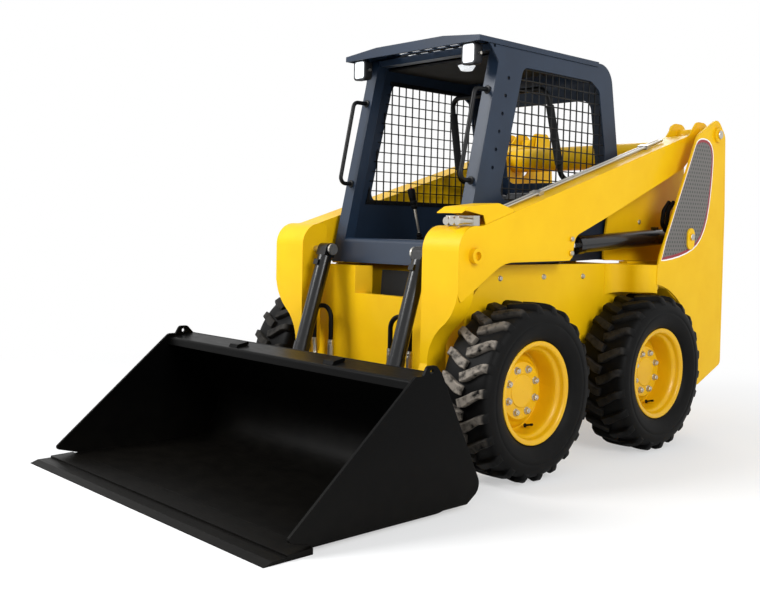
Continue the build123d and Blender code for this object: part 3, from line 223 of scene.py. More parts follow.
def clear_lens(name, base, other, glow):
    """Moulded polycarbonate: a glossy lens with upright flutes 5 mm wide, lit a little from inside."""
    material, tree, point = new_material(name)
    flutes = add_node(tree, "ShaderNodeTexWave", {"Scale": 32.0, "Distortion": 0.4}, {"Vector": point})
    colour = add_node(
        tree, "ShaderNodeMix", {"data_type": "RGBA", 6: linear(base), 7: linear(other)},
        {0: flutes.outputs["Fac"]},
    )
    bump = add_node(
        tree, "ShaderNodeBump", {"Strength": 0.3, "Distance": 1.0 * MM}, {"Height": flutes.outputs["Fac"]}
    )
    shader = add_node(
        tree, "ShaderNodeBsdfPrincipled",
        {"Roughness": 0.08, "Emission Color": linear(base), "Emission Strength": glow},
        {"Base Color": colour.outputs[2], "Normal": bump.outputs["Normal"]},
    )
    return finish_material(material, shader)


def plain_film(name, base, roughness):
    """Cast vinyl film on the paint: a flat colour with a faint ripple of the plate below."""
    material, tree, point = new_material(name)
    ripple = add_node(tree, "ShaderNodeTexNoise", {"Scale": 60.0, "Detail": 1.0}, {"Vector": point})
    bump = add_node(
        tree, "ShaderNodeBump", {"Strength": 0.1, "Distance": 0.3 * MM}, {"Height": ripple.outputs["Fac"]}
    )
    shader = add_node(
        tree, "ShaderNodeBsdfPrincipled", {"Base Color": linear(base), "Roughness": roughness},
        {"Normal": bump.outputs["Normal"]},
    )
    return finish_material(material, shader)


def dotted_film(name, base, dot, pitch_y_mm=24.0, pitch_z_mm=20.0, dot_mm=6.0):
    """Printed vinyl film with staggered rows of round dark dots, measured in the plane of the tower."""
    material, tree, point = new_material(name)
    parts = add_node(tree, "ShaderNodeSeparateXYZ", links={"Vector": point})
    row = add_node(
        tree, "ShaderNodeMath", {"operation": "DIVIDE", 1: pitch_z_mm * MM}, {0: parts.outputs["Z"]}
    )
    whole = add_node(tree, "ShaderNodeMath", {"operation": "FLOOR"}, {0: row.outputs[0]})
    shift = add_node(tree, "ShaderNodeMath", {"operation": "MULTIPLY", 1: 0.5}, {0: whole.outputs[0]})
    column = add_node(
        tree, "ShaderNodeMath", {"operation": "DIVIDE", 1: pitch_y_mm * MM}, {0: parts.outputs["Y"]}
    )
    moved = add_node(
        tree, "ShaderNodeMath", {"operation": "ADD"}, {0: column.outputs[0], 1: shift.outputs[0]}
    )
    offsets = []
    for source, pitch in ((moved, pitch_y_mm), (row, pitch_z_mm)):
        part = add_node(tree, "ShaderNodeMath", {"operation": "FRACT"}, {0: source.outputs[0]})
        centred = add_node(tree, "ShaderNodeMath", {"operation": "SUBTRACT", 1: 0.5}, {0: part.outputs[0]})
        scaled = add_node(
            tree, "ShaderNodeMath", {"operation": "MULTIPLY", 1: pitch}, {0: centred.outputs[0]}
        )
        offsets.append(scaled.outputs[0])
    spot = add_node(tree, "ShaderNodeCombineXYZ", links={"X": offsets[0], "Y": offsets[1]})
    reach = add_node(tree, "ShaderNodeVectorMath", {"operation": "LENGTH"}, {0: spot.outputs[0]})
    inside = add_node(
        tree, "ShaderNodeMapRange", {"From Min": dot_mm + 0.8, "From Max": dot_mm},
        {"Value": reach.outputs["Value"]},
    )
    colour = add_node(
        tree, "ShaderNodeMix", {"data_type": "RGBA", 6: linear(base), 7: linear(dot)}, {0: inside.outputs[0]}
    )
    shader = add_node(
        tree, "ShaderNodeBsdfPrincipled", {"Roughness": 0.38}, {"Base Color": colour.outputs[2]}
    )
    return finish_material(material, shader)


# Filled by make_materials: each finish by the short name that the pieces use.
MATERIALS = {}


def make_materials(look):
    """Every finish on the machine, kept by a short name."""
    paint, second = look.body_paint, look.body_shade
    MATERIALS["yellow"] = sprayed_enamel("yellow_alkyd_enamel", paint, second, 0.42, 0.04, shine=0.2)
    MATERIALS["rim"] = sprayed_enamel("rim_polyester_enamel", look.rim_paint, look.rim_shade, 0.32, 0.15)
    # The cab's slate blue is partly its own dark powder coat and partly a painted reflection of blue sky on
    # its faces.
    MATERIALS["cab"] = sprayed_enamel("cab_slate_coat_and_painted_sky_reflection", look.cab_paint, look.cab_second_slate_and_sky_reflection, 0.34, 0.05)
    MATERIALS["black"] = sprayed_enamel("black_powder_coat", "#060708", "#0B0C0E", 0.4, 0.0, shine=0.2)
    MATERIALS["bucket"] = dusty_enamel("bucket_black_enamel", "#020202", "#3A362F", 0.36)
    MATERIALS["barrel"] = sprayed_enamel("cylinder_black_enamel", "#060709", "#0B0C0F", 0.24, 0.2)
    # The last colour is the light tint of the lug tops: dried mud together with a painted sunlit highlight.
    MATERIALS["tyre"] = tyre_rubber("tyre_vulcanised_rubber", "#060606", "#100F0F", "#8E867C")
    MATERIALS["hose"] = tyre_rubber("hose_nitrile_rubber", "#080809", "#101012", "#101012")
    MATERIALS["chrome"] = machined_steel("rod_hard_chrome", "#D8DADC", 0.12)
    MATERIALS["zinc"] = machined_steel("zinc_plated_steel", "#BFBBB2", 0.30)
    MATERIALS["iron"] = sprayed_enamel("engine_grey_enamel", "#55585C", "#4B4E52", 0.5, 0.0)
    MATERIALS["vinyl"] = grained_vinyl("seat_moulded_vinyl", "#2A2B2E", "#36373B")
    MATERIALS["plastic"] = sprayed_enamel("moulded_abs_black", "#131416", "#1A1B1E", 0.5, 0.0)
    MATERIALS["lens"] = clear_lens("lamp_polycarbonate_lens", "#EEF2F5", "#B4BCC2", 0.7)
    MATERIALS["red_lens"] = clear_lens("tail_lamp_red_acrylic", "#B01012", "#6A0A0C", 0.05)
    MATERIALS["liner"] = sprayed_enamel("headliner_moulded_foam", "#101113", "#17181A", 0.8, 0.0, 3.0, 0.5)
    MATERIALS["white_film"] = plain_film("white_vinyl_film", "#F4F2EC", 0.4)
    MATERIALS["red_film"] = plain_film("dark_red_vinyl_film", "#8E1424", 0.35)
    MATERIALS["dotted_film"] = dotted_film("dotted_vinyl_film", look.decal_grey, look.decal_dot)


# The finish of each node of the frame.
NODE_FINISHES = {
    "yellow": (
        "left_arm", "right_arm", "left_tower", "right_tower", "main_frame", "engine_hood", "rear_door",
        "rear_frame", "boom_cross_tube", "boom_front_tube", "coupler_cover", "axle_housings",
    ),
    "cab": ("cab_frame", "cab_roof", "cab_rear_panel"),
    "black": ("cab_screens", "cab_floor", "step_grating", "carriage"),
    "bucket": ("bucket_shell", "cutting_edge"),
    "barrel": ("left_tilt_barrel", "right_tilt_barrel", "left_lift_barrel", "right_lift_barrel"),
    "chrome": ("left_tilt_rod", "right_tilt_rod", "left_lift_rod", "right_lift_rod"),
    "zinc": ("tilt_pins", "coupler_block", "coupler_lines", "hose_fittings"),
    "iron": ("engine_block",),
    "rim": ("rim_front_left", "rim_front_right", "rim_rear_left", "rim_rear_right"),
    "tyre": ("tyre_front_left", "tyre_front_right", "tyre_rear_left", "tyre_rear_right"),
    "hose": ("tilt_hoses",),
    "vinyl": ("seat",),
    "plastic": ("work_lamps", "tail_lamps", "control_levers", "grab_handles", "restraint_bar"),
    "liner": ("headliner",),
    "lens": ("dome_lamp",),
}


def finish_piece(name, shape, finish, body, crease=32.0, also=()):
    """Turn a bmesh into a piece with its materials, smooth up to the crease angle, riding on a body."""
    bmesh.ops.remove_doubles(shape, verts=shape.verts, dist=0.01 * MM)
    bmesh.ops.recalc_face_normals(shape, faces=shape.faces)
    mesh = bpy.data.meshes.new(name)
    shape.to_mesh(mesh)
    shape.free()
    for face in mesh.polygons:
        face.use_smooth = True
    mesh.set_sharp_from_angle(angle=radians(crease))
    for key in (finish,) + tuple(also):
        mesh.materials.append(MATERIALS[key])
    piece = bpy.data.objects.new(name, mesh)
    bpy.context.scene.collection.objects.link(piece)
    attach(piece, body)
    return piece


def lathe(shape, profile, place=None, segments=48, closed=True, finish=0):
    """Turn (x, radius) points in millimetres about the X axis, then move them to their place."""
    place = place or Matrix()
    rings = []
    for index in range(segments):
        turn = 2 * pi * index / segments
        rings.append([
            shape.verts.new(place @ Vector((x * MM, -sin(turn) * radius * MM, cos(turn) * radius * MM)))
            for x, radius in profile
        ])
    steps = len(profile) if closed else len(profile) - 1
    for index in range(segments):
        ring, onward = rings[index], rings[(index + 1) % segments]
        for step in range(steps):
            after = (step + 1) % len(profile)
            if profile[step][1] == 0 and profile[after][1] == 0:
                continue
            corners = (ring[step], ring[after], onward[after], onward[step])
            shape.faces.new(corners).material_index = finish


def facing(direction, place):
    """The matrix that turns the X axis to a direction and moves the origin to a place in metres."""
    turn = Vector((1, 0, 0)).rotation_difference(Vector(direction)).to_matrix().to_4x4()
    return Matrix.Translation(place) @ turn


def hex_bolt(shape, place, across=18.0, height=9.0, washer=14.0, finish=0):
    """A washer and a hexagon head with a turned chamfer, standing on the place's YZ plane."""
    half = across / 2 / cos(pi / 6)
    plate = [(0, 0), (0, washer), (1.6, washer), (2.2, washer - 0.8), (2.2, 0)]
    head = [(2, 0), (2, half), (height - 1.4, half), (height, half * 0.84), (height, 0)]
    lathe(shape, plate, place, 24, finish=finish)
    lathe(shape, head, place, 6, finish=finish)


def stud_nut(shape, place, across=24.0, height=16.0, finish=0):
    """A wheel nut with its cone seat and the end of its stud."""
    half = across / 2 / cos(pi / 6)
    seat = [(0, 0), (0, half + 3), (3, half + 2), (3.5, 0)]
    nut = [(3, 0), (3, half), (height - 3, half), (height, half * 0.82), (height, 0)]
    stud = [(height, 0), (height, 7.5), (height + 3, 7), (height + 4, 5), (height + 4, 0)]
    for profile, segments in ((seat, 24), (nut, 6), (stud, 16)):
        lathe(shape, profile, place, segments, finish=finish)


def bent_route(points, bend, steps=7):
    """The points of a route in millimetres with each corner turned to a radius, in metres."""
    spots = [Vector(point) for point in points]
    route = [spots[0]]
    for index in range(1, len(spots) - 1):
        along = (spots[index] - spots[index - 1]).normalized()
        onward = (spots[index + 1] - spots[index]).normalized()
        turn = along.angle(onward)
        reach = bend * tan(turn / 2)
        inward = (onward - along * onward.dot(along)).normalized()
        start = spots[index] - along * reach
        centre = start + inward * bend
        for step in range(steps + 1):
            part = turn * step / steps
            route.append(centre - inward * bend * cos(part) + along * bend * sin(part))
    route.append(spots[-1])
    return [spot * MM for spot in route]


def tube_along(shape, route, radius, segments=20, finish=0):
    """A round tube with closed ends along a route in metres, its radius in millimetres."""
    rings = []
    across = (route[1] - route[0]).orthogonal().normalized()
    for index, spot in enumerate(route):
        before = route[max(index - 1, 0)]
        after = route[min(index + 1, len(route) - 1)]
        along = (after - before).normalized()
        across = (across - along * across.dot(along)).normalized()
        beside = along.cross(across)
        ring = []
        for k in range(segments):
            turn = 2 * pi * k / segments
            ring.append(shape.verts.new(spot + (across * cos(turn) + beside * sin(turn)) * radius * MM))
        rings.append(ring)
    for ring, onward in zip(rings, rings[1:]):
        for k in range(segments):
            after = (k + 1) % segments
            shape.faces.new((ring[k], ring[after], onward[after], onward[k])).material_index = finish
    for ring in (rings[0], rings[-1]):
        shape.faces.new(ring).material_index = finish


def rounded_box(shape, low, high, radius, steps=4, finish=0):
    """A box in millimetres with rounded edges, made as a cube that is bevelled."""
    box = bmesh.new()
    bmesh.ops.create_cube(box, size=1.0)
    for vert in box.verts:
        vert.co = Vector([(low[i] if vert.co[i] < 0 else high[i]) * MM for i in range(3)])
    bmesh.ops.bevel(
        box, geom=list(box.edges), offset=radius * MM, segments=steps, profile=0.5, affect="EDGES"
    )
    add_shape(shape, box, finish)


def add_shape(shape, other, finish=0):
    """Copy the faces of one bmesh into another."""
    copies = {vert: shape.verts.new(vert.co) for vert in other.verts}
    for face in other.faces:
        shape.faces.new([copies[vert] for vert in face.verts]).material_index = finish
    other.free()


# A piece is made for the left side, and this matrix mirrors it to the right.
SIDES = {"left": Matrix(), "right": Matrix.Scale(-1, 4, (1, 0, 0))}

WHEELS = ("front_left", "front_right", "rear_left", "rear_right")
WHEEL_X = 0.661
FRONT_AXLE_Y = -0.150
REAR_AXLE_Y = 0.825
TYRE_RADIUS = 0.384


def wheel_place(corner):
    """The matrix of a wheel's centre, with its outer side along X, mirrored on the right."""
    end, side = corner.split("_")
    x = WHEEL_X if side == "left" else -WHEEL_X
    y = FRONT_AXLE_Y if end == "front" else REAR_AXLE_Y
    return Matrix.Translation((x, y, TYRE_RADIUS)) @ SIDES[side]


def mirror_profile(half):
    """A profile from one side's points, closed with the same points on the other side."""
    return half + [(-x, radius) for x, radius in reversed(half)]


def tyre_lug(shape, dust_and_highlight_layer, place, look, side, turn, dust_and_highlight):
    """One bent lug, from the middle of the tread over the shoulder, as rings of six points."""
    # Each station: across the tread, along it, half the lug's width and the radius of its top.
    run = [
        (-7, -33, 17, 382.5), (14, -27, 18.5, 383.6), (34, -17, 17.5, 384), (56, -4, 15.5, 384),
        (78, 9, 14.5, 383.6), (96, 17, 14.5, 381.6), (109, 20, 15.5, 376), (118, 21, 16.5, 365),
        (125, 21, 17.5, 347),
    ]
    carcass_radius, shoulder, pitch_radius, dust_and_highlight_from = 354, 112, 372, 370
    rings = []
    for index, (across, along, half, top) in enumerate(run):
        before = run[max(index - 1, 0)]
        after = run[min(index + 1, len(run) - 1)]
        heading = atan2(after[1] - before[1], after[0] - before[0])
        foot = carcass_radius if across < shoulder else carcass_radius - (across - shoulder) * 1.3
        flank = [(half + 5, foot), (half + 1.2, top - 3), (half - 1.6, top)]
        ring = []
        for width, radius in [(-width, radius) for width, radius in flank] + flank[::-1]:
            x = across - sin(heading) * width
            angle = turn + (along + cos(heading) * width) / pitch_radius
            vert = shape.verts.new(
                place @ Vector((side * x * MM, sin(angle) * radius * MM, cos(angle) * radius * MM))
            )
            # Lug tops take the dust_and_highlight value, which paints dried mud together with a sunlit
            # highlight.
            vert[dust_and_highlight_layer] = dust_and_highlight if radius > dust_and_highlight_from else 0.0
            ring.append(vert)
        rings.append(ring)
    for ring, onward in zip(rings, rings[1:]):
        for k in range(5):
            shape.faces.new((ring[k], ring[k + 1], onward[k + 1], onward[k]))
    shape.faces.new(rings[0])
    shape.faces.new(rings[-1])


class LoaderTyres(bpy.types.PropertyGroup):
    lug_count: bpy.props.IntProperty(
        name="Lugs", description="Lugs on each side of a tyre", default=22, min=8
    )
    # This sets the light tint of the front lug tops: dried mud together with a painted sunlit highlight.
    dust_and_highlight: bpy.props.FloatProperty(
        name="Dust", description="Dried mud on the lugs of the front tyres", default=1.0, min=0.0, max=1.0,
        subtype="FACTOR",
    )


class LOADER_OT_tyres(bpy.types.Operator):
    """Makes the four tyres, each a round carcass with a ribbed sidewall and bent lugs"""

    bl_idname = "loader.tyres"
    bl_label = "Make the tyres"

    def execute(self, context):
        look = context.scene.loader_tyres
        wall = [
            (97, 204), (97.4, 222.6), (101, 226), (109, 232), (118, 246), (125, 264), (129.5, 284),
            (131.4, 297), (130.0, 299.5), (130.0, 301.5), (131.4, 304), (130.4, 318), (127, 334),
            (120.5, 348), (112, 355), (100, 359), (70, 361), (30, 362), (0, 362.3),
        ]
        first_lug = radians(5.88)
        # Dried mud and a painted sunlit highlight are strongest on the front left tyre, on the part of the
        # tread that faces forwards into the light.
        dust_and_highlight_turn = 1.25
        for corner in WHEELS:
            place = wheel_place(corner)
            shape = bmesh.new()
            dust_and_highlight_layer = shape.verts.layers.float.new("dust_and_highlight")
            lathe(shape, mirror_profile(wall), place, 120)
            amount = look.dust_and_highlight * (1.0 if corner == "front_left" else 0.08)
            for side, phase in ((1, 0), (-1, 0.5)):
                for index in range(look.lug_count):
                    turn = first_lug + (index + phase) * 2 * pi / look.lug_count
                    front = max(0.0, cos(turn - dust_and_highlight_turn)) ** 5
                    tyre_lug(shape, dust_and_highlight_layer, place, look, side, -turn, amount * front)
            piece = finish_piece(f"moulded_tyre_{corner}", shape, "tyre", f"wheel_{corner}", 40)
            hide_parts(f"tyre_{corner}")
        return {"FINISHED"}


class LoaderRims(bpy.types.PropertyGroup):
    nut_across: bpy.props.FloatProperty(
        name="Wheel nut", description="Width across the flats of a wheel nut", default=0.024, unit="LENGTH"
    )
    nut_count: bpy.props.IntProperty(name="Nuts", description="Nuts on a wheel", default=8, min=3)


class LOADER_OT_rims(bpy.types.Operator):
    """Makes the four deep rims with their nuts and valves"""

    bl_idname = "loader.rims"
    bl_label = "Make the rims"

    def execute(self, context):
        look = context.scene.loader_rims
        section = [
            (98, 203.2), (98, 218), (98.6, 221.4), (100.8, 222.6), (103.4, 222.2), (105, 219.6), (105, 214),
            (103.6, 206), (99, 200.2), (92, 197.4), (82, 196.4), (76, 194), (71, 188), (66, 183.4), (58, 181),
            (40, 180), (6, 179), (-18, 178.4), (-23, 176), (-24, 171), (-20, 165), (-10, 158), (-4, 151),
            (0, 143), (3, 136), (9, 131), (16, 127.5), (20, 123), (21, 117), (21, 76), (21.8, 73.6),
            (24.4, 72), (26, 70), (26.4, 66), (26.4, 4), (25.4, 2.6), (25.4, 0), (-50, 0), (-50.6, 30.3),
            (-81, 30.3), (-81, 55), (6, 56), (6, 112), (-30, 160), (-40, 180), (-98, 194), (-104, 199),
            (-105, 206), (-105, 219.6), (-103.4, 222.2), (-100.8, 222.6), (-98.6, 221.4), (-98, 218),
            (-98, 203.2),
        ]
        disc_face, nut_circle, valve_lean = 21, 97, radians(-14)
        for corner in WHEELS:
            place = wheel_place(corner)
            shape = bmesh.new()
            lathe(shape, section, place, 120)
            for index in range(look.nut_count):
                turn = (index + 0.5) * 2 * pi / look.nut_count
                spot = (disc_face * MM, sin(turn) * nut_circle * MM, cos(turn) * nut_circle * MM)
                stud_nut(shape, place @ Matrix.Translation(spot), look.nut_across / MM, 16, 1)
            valve = place @ Matrix.Translation((2 * MM, 0.052, -0.160)) @ Matrix.Rotation(valve_lean, 4, "Y")
            stem = [(0, 0), (0, 9), (5, 9), (8, 5), (34, 4.2), (34, 5.6), (44, 5.2), (46, 0)]
            lathe(shape, stem, valve, 16, finish=2)
            also = ("zinc", "hose")
            piece = finish_piece(f"pressed_rim_{corner}", shape, "rim", f"wheel_{corner}", 30, also)
            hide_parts(f"rim_{corner}")
        return {"FINISHED"}


class LoaderFinishes(bpy.types.PropertyGroup):
    body_paint: bpy.props.StringProperty(
        name="Body paint", description="Yellow of the plates", default="#ECBC08"
    )
    body_shade: bpy.props.StringProperty(
        name="Body cloud", description="Second yellow in it", default="#E7B404"
    )
    rim_paint: bpy.props.StringProperty(
        name="Rim paint", description="Yellow of the rims", default="#DFAE08"
    )
    rim_shade: bpy.props.StringProperty(
        name="Rim cloud", description="Second yellow in it", default="#D6A205"
    )
    # Both cab colours hold the dark slate coat together with a painted blue sky reflection.
    cab_paint: bpy.props.StringProperty(
        name="Cab paint", description="Slate of the cab", default="#1C2B3E"
    )
    cab_second_slate_and_sky_reflection: bpy.props.StringProperty(
        name="Cab cloud", description="Second slate in it", default="#172435"
    )
    decal_grey: bpy.props.StringProperty(
        name="Decal grey", description="Ground of the panel", default="#63605C"
    )
    decal_dot: bpy.props.StringProperty(
        name="Decal dots", description="Dots of the panel", default="#393734"
    )


class LOADER_OT_finishes(bpy.types.Operator):
    """Gives each node of the frame its material"""

    bl_idname = "loader.finishes"
    bl_label = "Finish the frame"

    def execute(self, context):
        make_materials(context.scene.loader_finishes)
        for finish, nodes in NODE_FINISHES.items():
            for node in nodes:
                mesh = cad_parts[node].data
                mesh.materials.clear()
                mesh.materials.append(MATERIALS[finish])
        return {"FINISHED"}


class LoaderDecals(bpy.types.PropertyGroup):
    outside: bpy.props.FloatProperty(
        name="Outer face", description="Where the tower's outer face is", default=0.700, unit="LENGTH"
    )
    white_line: bpy.props.FloatProperty(
        name="White line", description="Width of the white line", default=0.007, unit="LENGTH"
    )
    red_line: bpy.props.FloatProperty(
        name="Red line", description="Width of the red line", default=0.014, unit="LENGTH"
    )


# The decal's outline in (y, z): the straight front edge first, then round over the top and down to the tip.
DECAL_FRONT = [(908, 935), (921, 966), (946, 1033), (1023, 1185), (1101, 1335), (1180, 1488), (1206, 1538)]
DECAL_BACK = [
    (1216, 1553), (1232, 1564), (1254, 1571), (1285, 1574), (1318, 1571), (1346, 1562), (1368, 1545),
    (1384, 1520), (1392, 1490), (1394, 1450), (1392, 1400), (1387, 1340), (1380, 1280), (1369, 1215),
    (1352, 1150), (1328, 1096), (1297, 1050), (1258, 1015), (1210, 989), (1150, 969), (1080, 953),
    (1010, 942), (950, 935),
]


def drawn_in(points, back, front):
    """The decal's outline moved inwards, by one amount along its front edge and another along the rest."""
    count = len(points)
    moved = []
    for index, here in enumerate(points):
        before, after = Vector(points[index - 1]), Vector(points[(index + 1) % count])
        along = (after - before).normalized()
        amount = front if 0 < index < len(DECAL_FRONT) else back
        moved.append((here[0] + along.y * amount, here[1] - along.x * amount))
    return moved


def film(shape, place, outline, x, finish):
    """A flat film 0.2 mm thick with its outline in (y, z), at that x."""
    lower = [shape.verts.new(place @ Vector(((x - 0.2) * MM, y * MM, z * MM))) for y, z in outline]
    upper = [shape.verts.new(place @ Vector((x * MM, y * MM, z * MM))) for y, z in outline]
    count = len(outline)
    for index in range(count):
        after = (index + 1) % count
        shape.faces.new((lower[index], lower[after], upper[after], upper[index])).material_index = finish
    shape.faces.new(upper).material_index = finish


class LOADER_OT_decals(bpy.types.Operator):
    """Makes the dotted panel with its red and white lines on each tower"""

    bl_idname = "loader.decals"
    bl_label = "Make the tower decals"

    def execute(self, context):
        look = context.scene.loader_decals
        outline = DECAL_FRONT + DECAL_BACK
        x, white, red = look.outside / MM, look.white_line / MM, (look.white_line + look.red_line) / MM
        for side, flip in SIDES.items():
            shape = bmesh.new()
            film(shape, flip, outline, x + 0.3, 0)
            film(shape, flip, drawn_in(outline, white, 4), x + 0.5, 1)
            film(shape, flip, drawn_in(outline, red, 5), x + 0.7, 2)
            also = ("red_film", "dotted_film")
            finish_piece(f"{side}_tower_decal", shape, "white_film", "chassis", 30, also)
        return {"FINISHED"}


class LoaderFasteners(bpy.types.PropertyGroup):
    head_across: bpy.props.FloatProperty(
        name="Bolt head", description="Width across the flats of the plate bolts", default=0.019, unit="LENGTH"
    )
    pin_cap: bpy.props.FloatProperty(
        name="Pin cap", description="Radius of the caps over the pivot pins", default=0.017, unit="LENGTH"
    )


class LOADER_OT_fasteners(bpy.types.Operator):
    """Makes the bolts of the side walls, towers and arms and the caps of the pins"""

    bl_idname = "loader.fasteners"
    bl_label = "Make the bolts"

    def execute(self, context):
        look = context.scene.loader_fasteners
        across, cap = look.head_across / MM, look.pin_cap / MM
        # Places in millimetres, then the height of the head and the radius of its washer.
        wall_bolts = ((510, -109, 857), (510, 205, 859), (510, 514, 856)), 9, 13
        tower_bolts = ((460, 860, 1010), (460, 900, 1230), (460, 1080, 1130)), 5, 13
        arm_bolts = ((620, 267, 972), (620, 267, 1037)), 7, 11
        cylinder_pin, boom_pin = (0.716, 1.182, 1.057), (0.718, 1.425, 1.602)
        groups = ("tower", "chassis", (wall_bolts, tower_bolts)), ("arm", "boom", (arm_bolts,))
        for side, flip in SIDES.items():
            for name, body, rows in groups:
                shape = bmesh.new()
                for places, height, washer in rows:
                    for x, y, z in places:
                        place = flip @ facing((1, 0, 0), (x * MM, y * MM, z * MM))
                        hex_bolt(shape, place, across, height, washer)
                if name == "tower":
                    lathe(shape, [(0, 0), (0, cap), (2, cap), (3.5, cap - 1.5), (3.5, 5), (2, 4), (2, 0)],
                          flip @ facing((1, 0, 0), cylinder_pin), 32)
                    lathe(shape, [(0, 0), (0, 22), (3, 22), (5, 20), (5, 6), (3, 5), (3, 0)],
                          flip @ facing((1, 0, 0), boom_pin), 32)
                finish_piece(f"{side}_{name}_bolts", shape, "zinc", body, 30)
        return {"FINISHED"}


class LoaderFairings(bpy.types.PropertyGroup):
    arc_radius: bpy.props.FloatProperty(
        name="Arc radius", description="Radius of both arcs of the fairing", default=0.094, unit="LENGTH"
    )
    tyre_room: bpy.props.FloatProperty(
        name="Tyre room", description="Room between the fairing's lower edge and the tyre", default=0.009,
        unit="LENGTH",
    )


class LOADER_OT_fairings(bpy.types.Operator):
    """Makes the smooth skin of each fairing, from the side wall out to the tower and down over the tyre"""

    bl_idname = "loader.fairings"
    bl_label = "Make the fairings"

    def execute(self, context):
        look = context.scene.loader_fairings
        arc = look.arc_radius / MM
        # Two arcs of almost a quarter turn each: off the side wall, then onto the tower.
        wall_centre, tower_centre, quarter, steps = (604, 700), (602, 888), radians(89.4), 24
        skin, ledge, axle_y, tyre = 1.6, 905.5, REAR_AXLE_Y / MM, TYRE_RADIUS / MM
        for side, flip in SIDES.items():
            shape = bmesh.new()
            rings = []
            for index in range(2 * steps + 1):
                share = index / steps
                turn = quarter * min(share, 2 - share)
                centre, way = (wall_centre, 1) if share <= 1 else (tower_centre, -1)
                ring = []
                for depth in (0, skin):
                    radius = arc - way * depth
                    x, y = centre[0] - way * radius * cos(turn), centre[1] + way * radius * sin(turn)
                    low = tyre + ((tyre + look.tyre_room / MM) ** 2 - (y - axle_y) ** 2) ** 0.5
                    for z in (ledge, low) if depth == 0 else (low, ledge):
                        ring.append(shape.verts.new(flip @ Vector((x * MM, y * MM, z * MM))))
                rings.append(ring)
            for ring, onward in zip(rings, rings[1:]):
                for k in range(4):
                    shape.faces.new((ring[k], ring[(k + 1) % 4], onward[(k + 1) % 4], onward[k]))
            shape.faces.new(rings[0])
            shape.faces.new(rings[-1])
            finish_piece(f"{side}_fairing_skin", shape, "yellow", "chassis", 40)
        return {"FINISHED"}


class LoaderHoses(bpy.types.PropertyGroup):
    hose_radius: bpy.props.FloatProperty(
        name="Hose radius", description="Radius of the tilt hoses", default=0.011, unit="LENGTH"
    )
    collar_radius: bpy.props.FloatProperty(
        name="Collar radius", description="Radius of the crimped collars", default=0.0145, unit="LENGTH"
    )


class LOADER_OT_hoses(bpy.types.Operator):
    """Makes the arched tilt hoses with their crimped collars and the hose bundles behind the towers"""

    bl_idname = "loader.hoses"
    bl_label = "Make the hoses"

    def execute(self, context):
        look = context.scene.loader_hoses
        radius, collar = look.hose_radius / MM, look.collar_radius / MM
        shape = bmesh.new()
        for x_from, x_to, top in ((150, 274, 677), (-386, -262, 690)):
            route = bent_route(
                [(x_from, -428, 500), (x_from, -428, top), (x_to, -428, top), (x_to, -428, 500)],
                abs(x_to - x_from) / 2 - 4, 14,
            )
            tube_along(shape, route, radius, 24)
            for x in (x_from, x_to):
                foot = facing((0, 0, 1), (x * MM, -0.428, 0.5))
                crimps = [
                    (0, 0), (0, collar), (8, collar), (9, collar - 1), (14, collar - 1), (15, collar),
                    (23, collar), (24, collar - 1), (30, collar - 1), (31, radius), (31, 0),
                ]
                lathe(shape, crimps, foot, 24, finish=1)
        piece = finish_piece("arched_tilt_hoses", shape, "hose", "boom", 40, ("zinc",))
        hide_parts("tilt_hoses")
        for side, flip in SIDES.items():
            shape = bmesh.new()
            for shift in (0, 26):
                route = bent_route(
                    [(628 - shift, 1130, 1236), (628 - shift, 1080, 1190), (624 - shift, 1075, 1120),
                     (624 - shift, 1120, 1085)], 26,
                )
                tube_along(shape, [flip @ spot for spot in route], 11, 18)
            finish_piece(f"{side}_lift_hoses", shape, "hose", "chassis", 40)
        return {"FINISHED"}


class LoaderLamps(bpy.types.PropertyGroup):
    housing_radius: bpy.props.FloatProperty(
        name="Corner radius", description="Corner radius of a lamp's housing", default=0.018, unit="LENGTH"
    )
    lens_inset: bpy.props.FloatProperty(
        name="Lens inset", description="Width of the rim round the lens", default=0.009, unit="LENGTH"
    )


def rounded_outline(half_width, half_height, radius, steps=6):
    """The (y, z) points of a rectangle with rounded corners about the origin."""
    outline = []
    for quarter, (side_y, side_z) in enumerate(((1, 1), (-1, 1), (-1, -1), (1, -1))):
        for step in range(steps + 1):
            turn = (quarter + step / steps) * pi / 2
            y = side_y * (half_width - radius) + radius * cos(turn)
            z = side_z * (half_height - radius) + radius * sin(turn)
            outline.append((y, z))
    return outline


def layered(shape, place, layers, finish=0):
    """A solid through outlines (x, points), each with the same count of points, closed at both ends."""
    rings = []
    for x, points in layers:
        rings.append([shape.verts.new(place @ Vector((x * MM, y * MM, z * MM))) for y, z in points])
    for ring, onward in zip(rings, rings[1:]):
        for k in range(len(ring)):
            after = (k + 1) % len(ring)
            shape.faces.new((ring[k], ring[after], onward[after], onward[k])).material_index = finish
    shape.faces.new(rings[0]).material_index = finish
    shape.faces.new(rings[-1]).material_index = finish


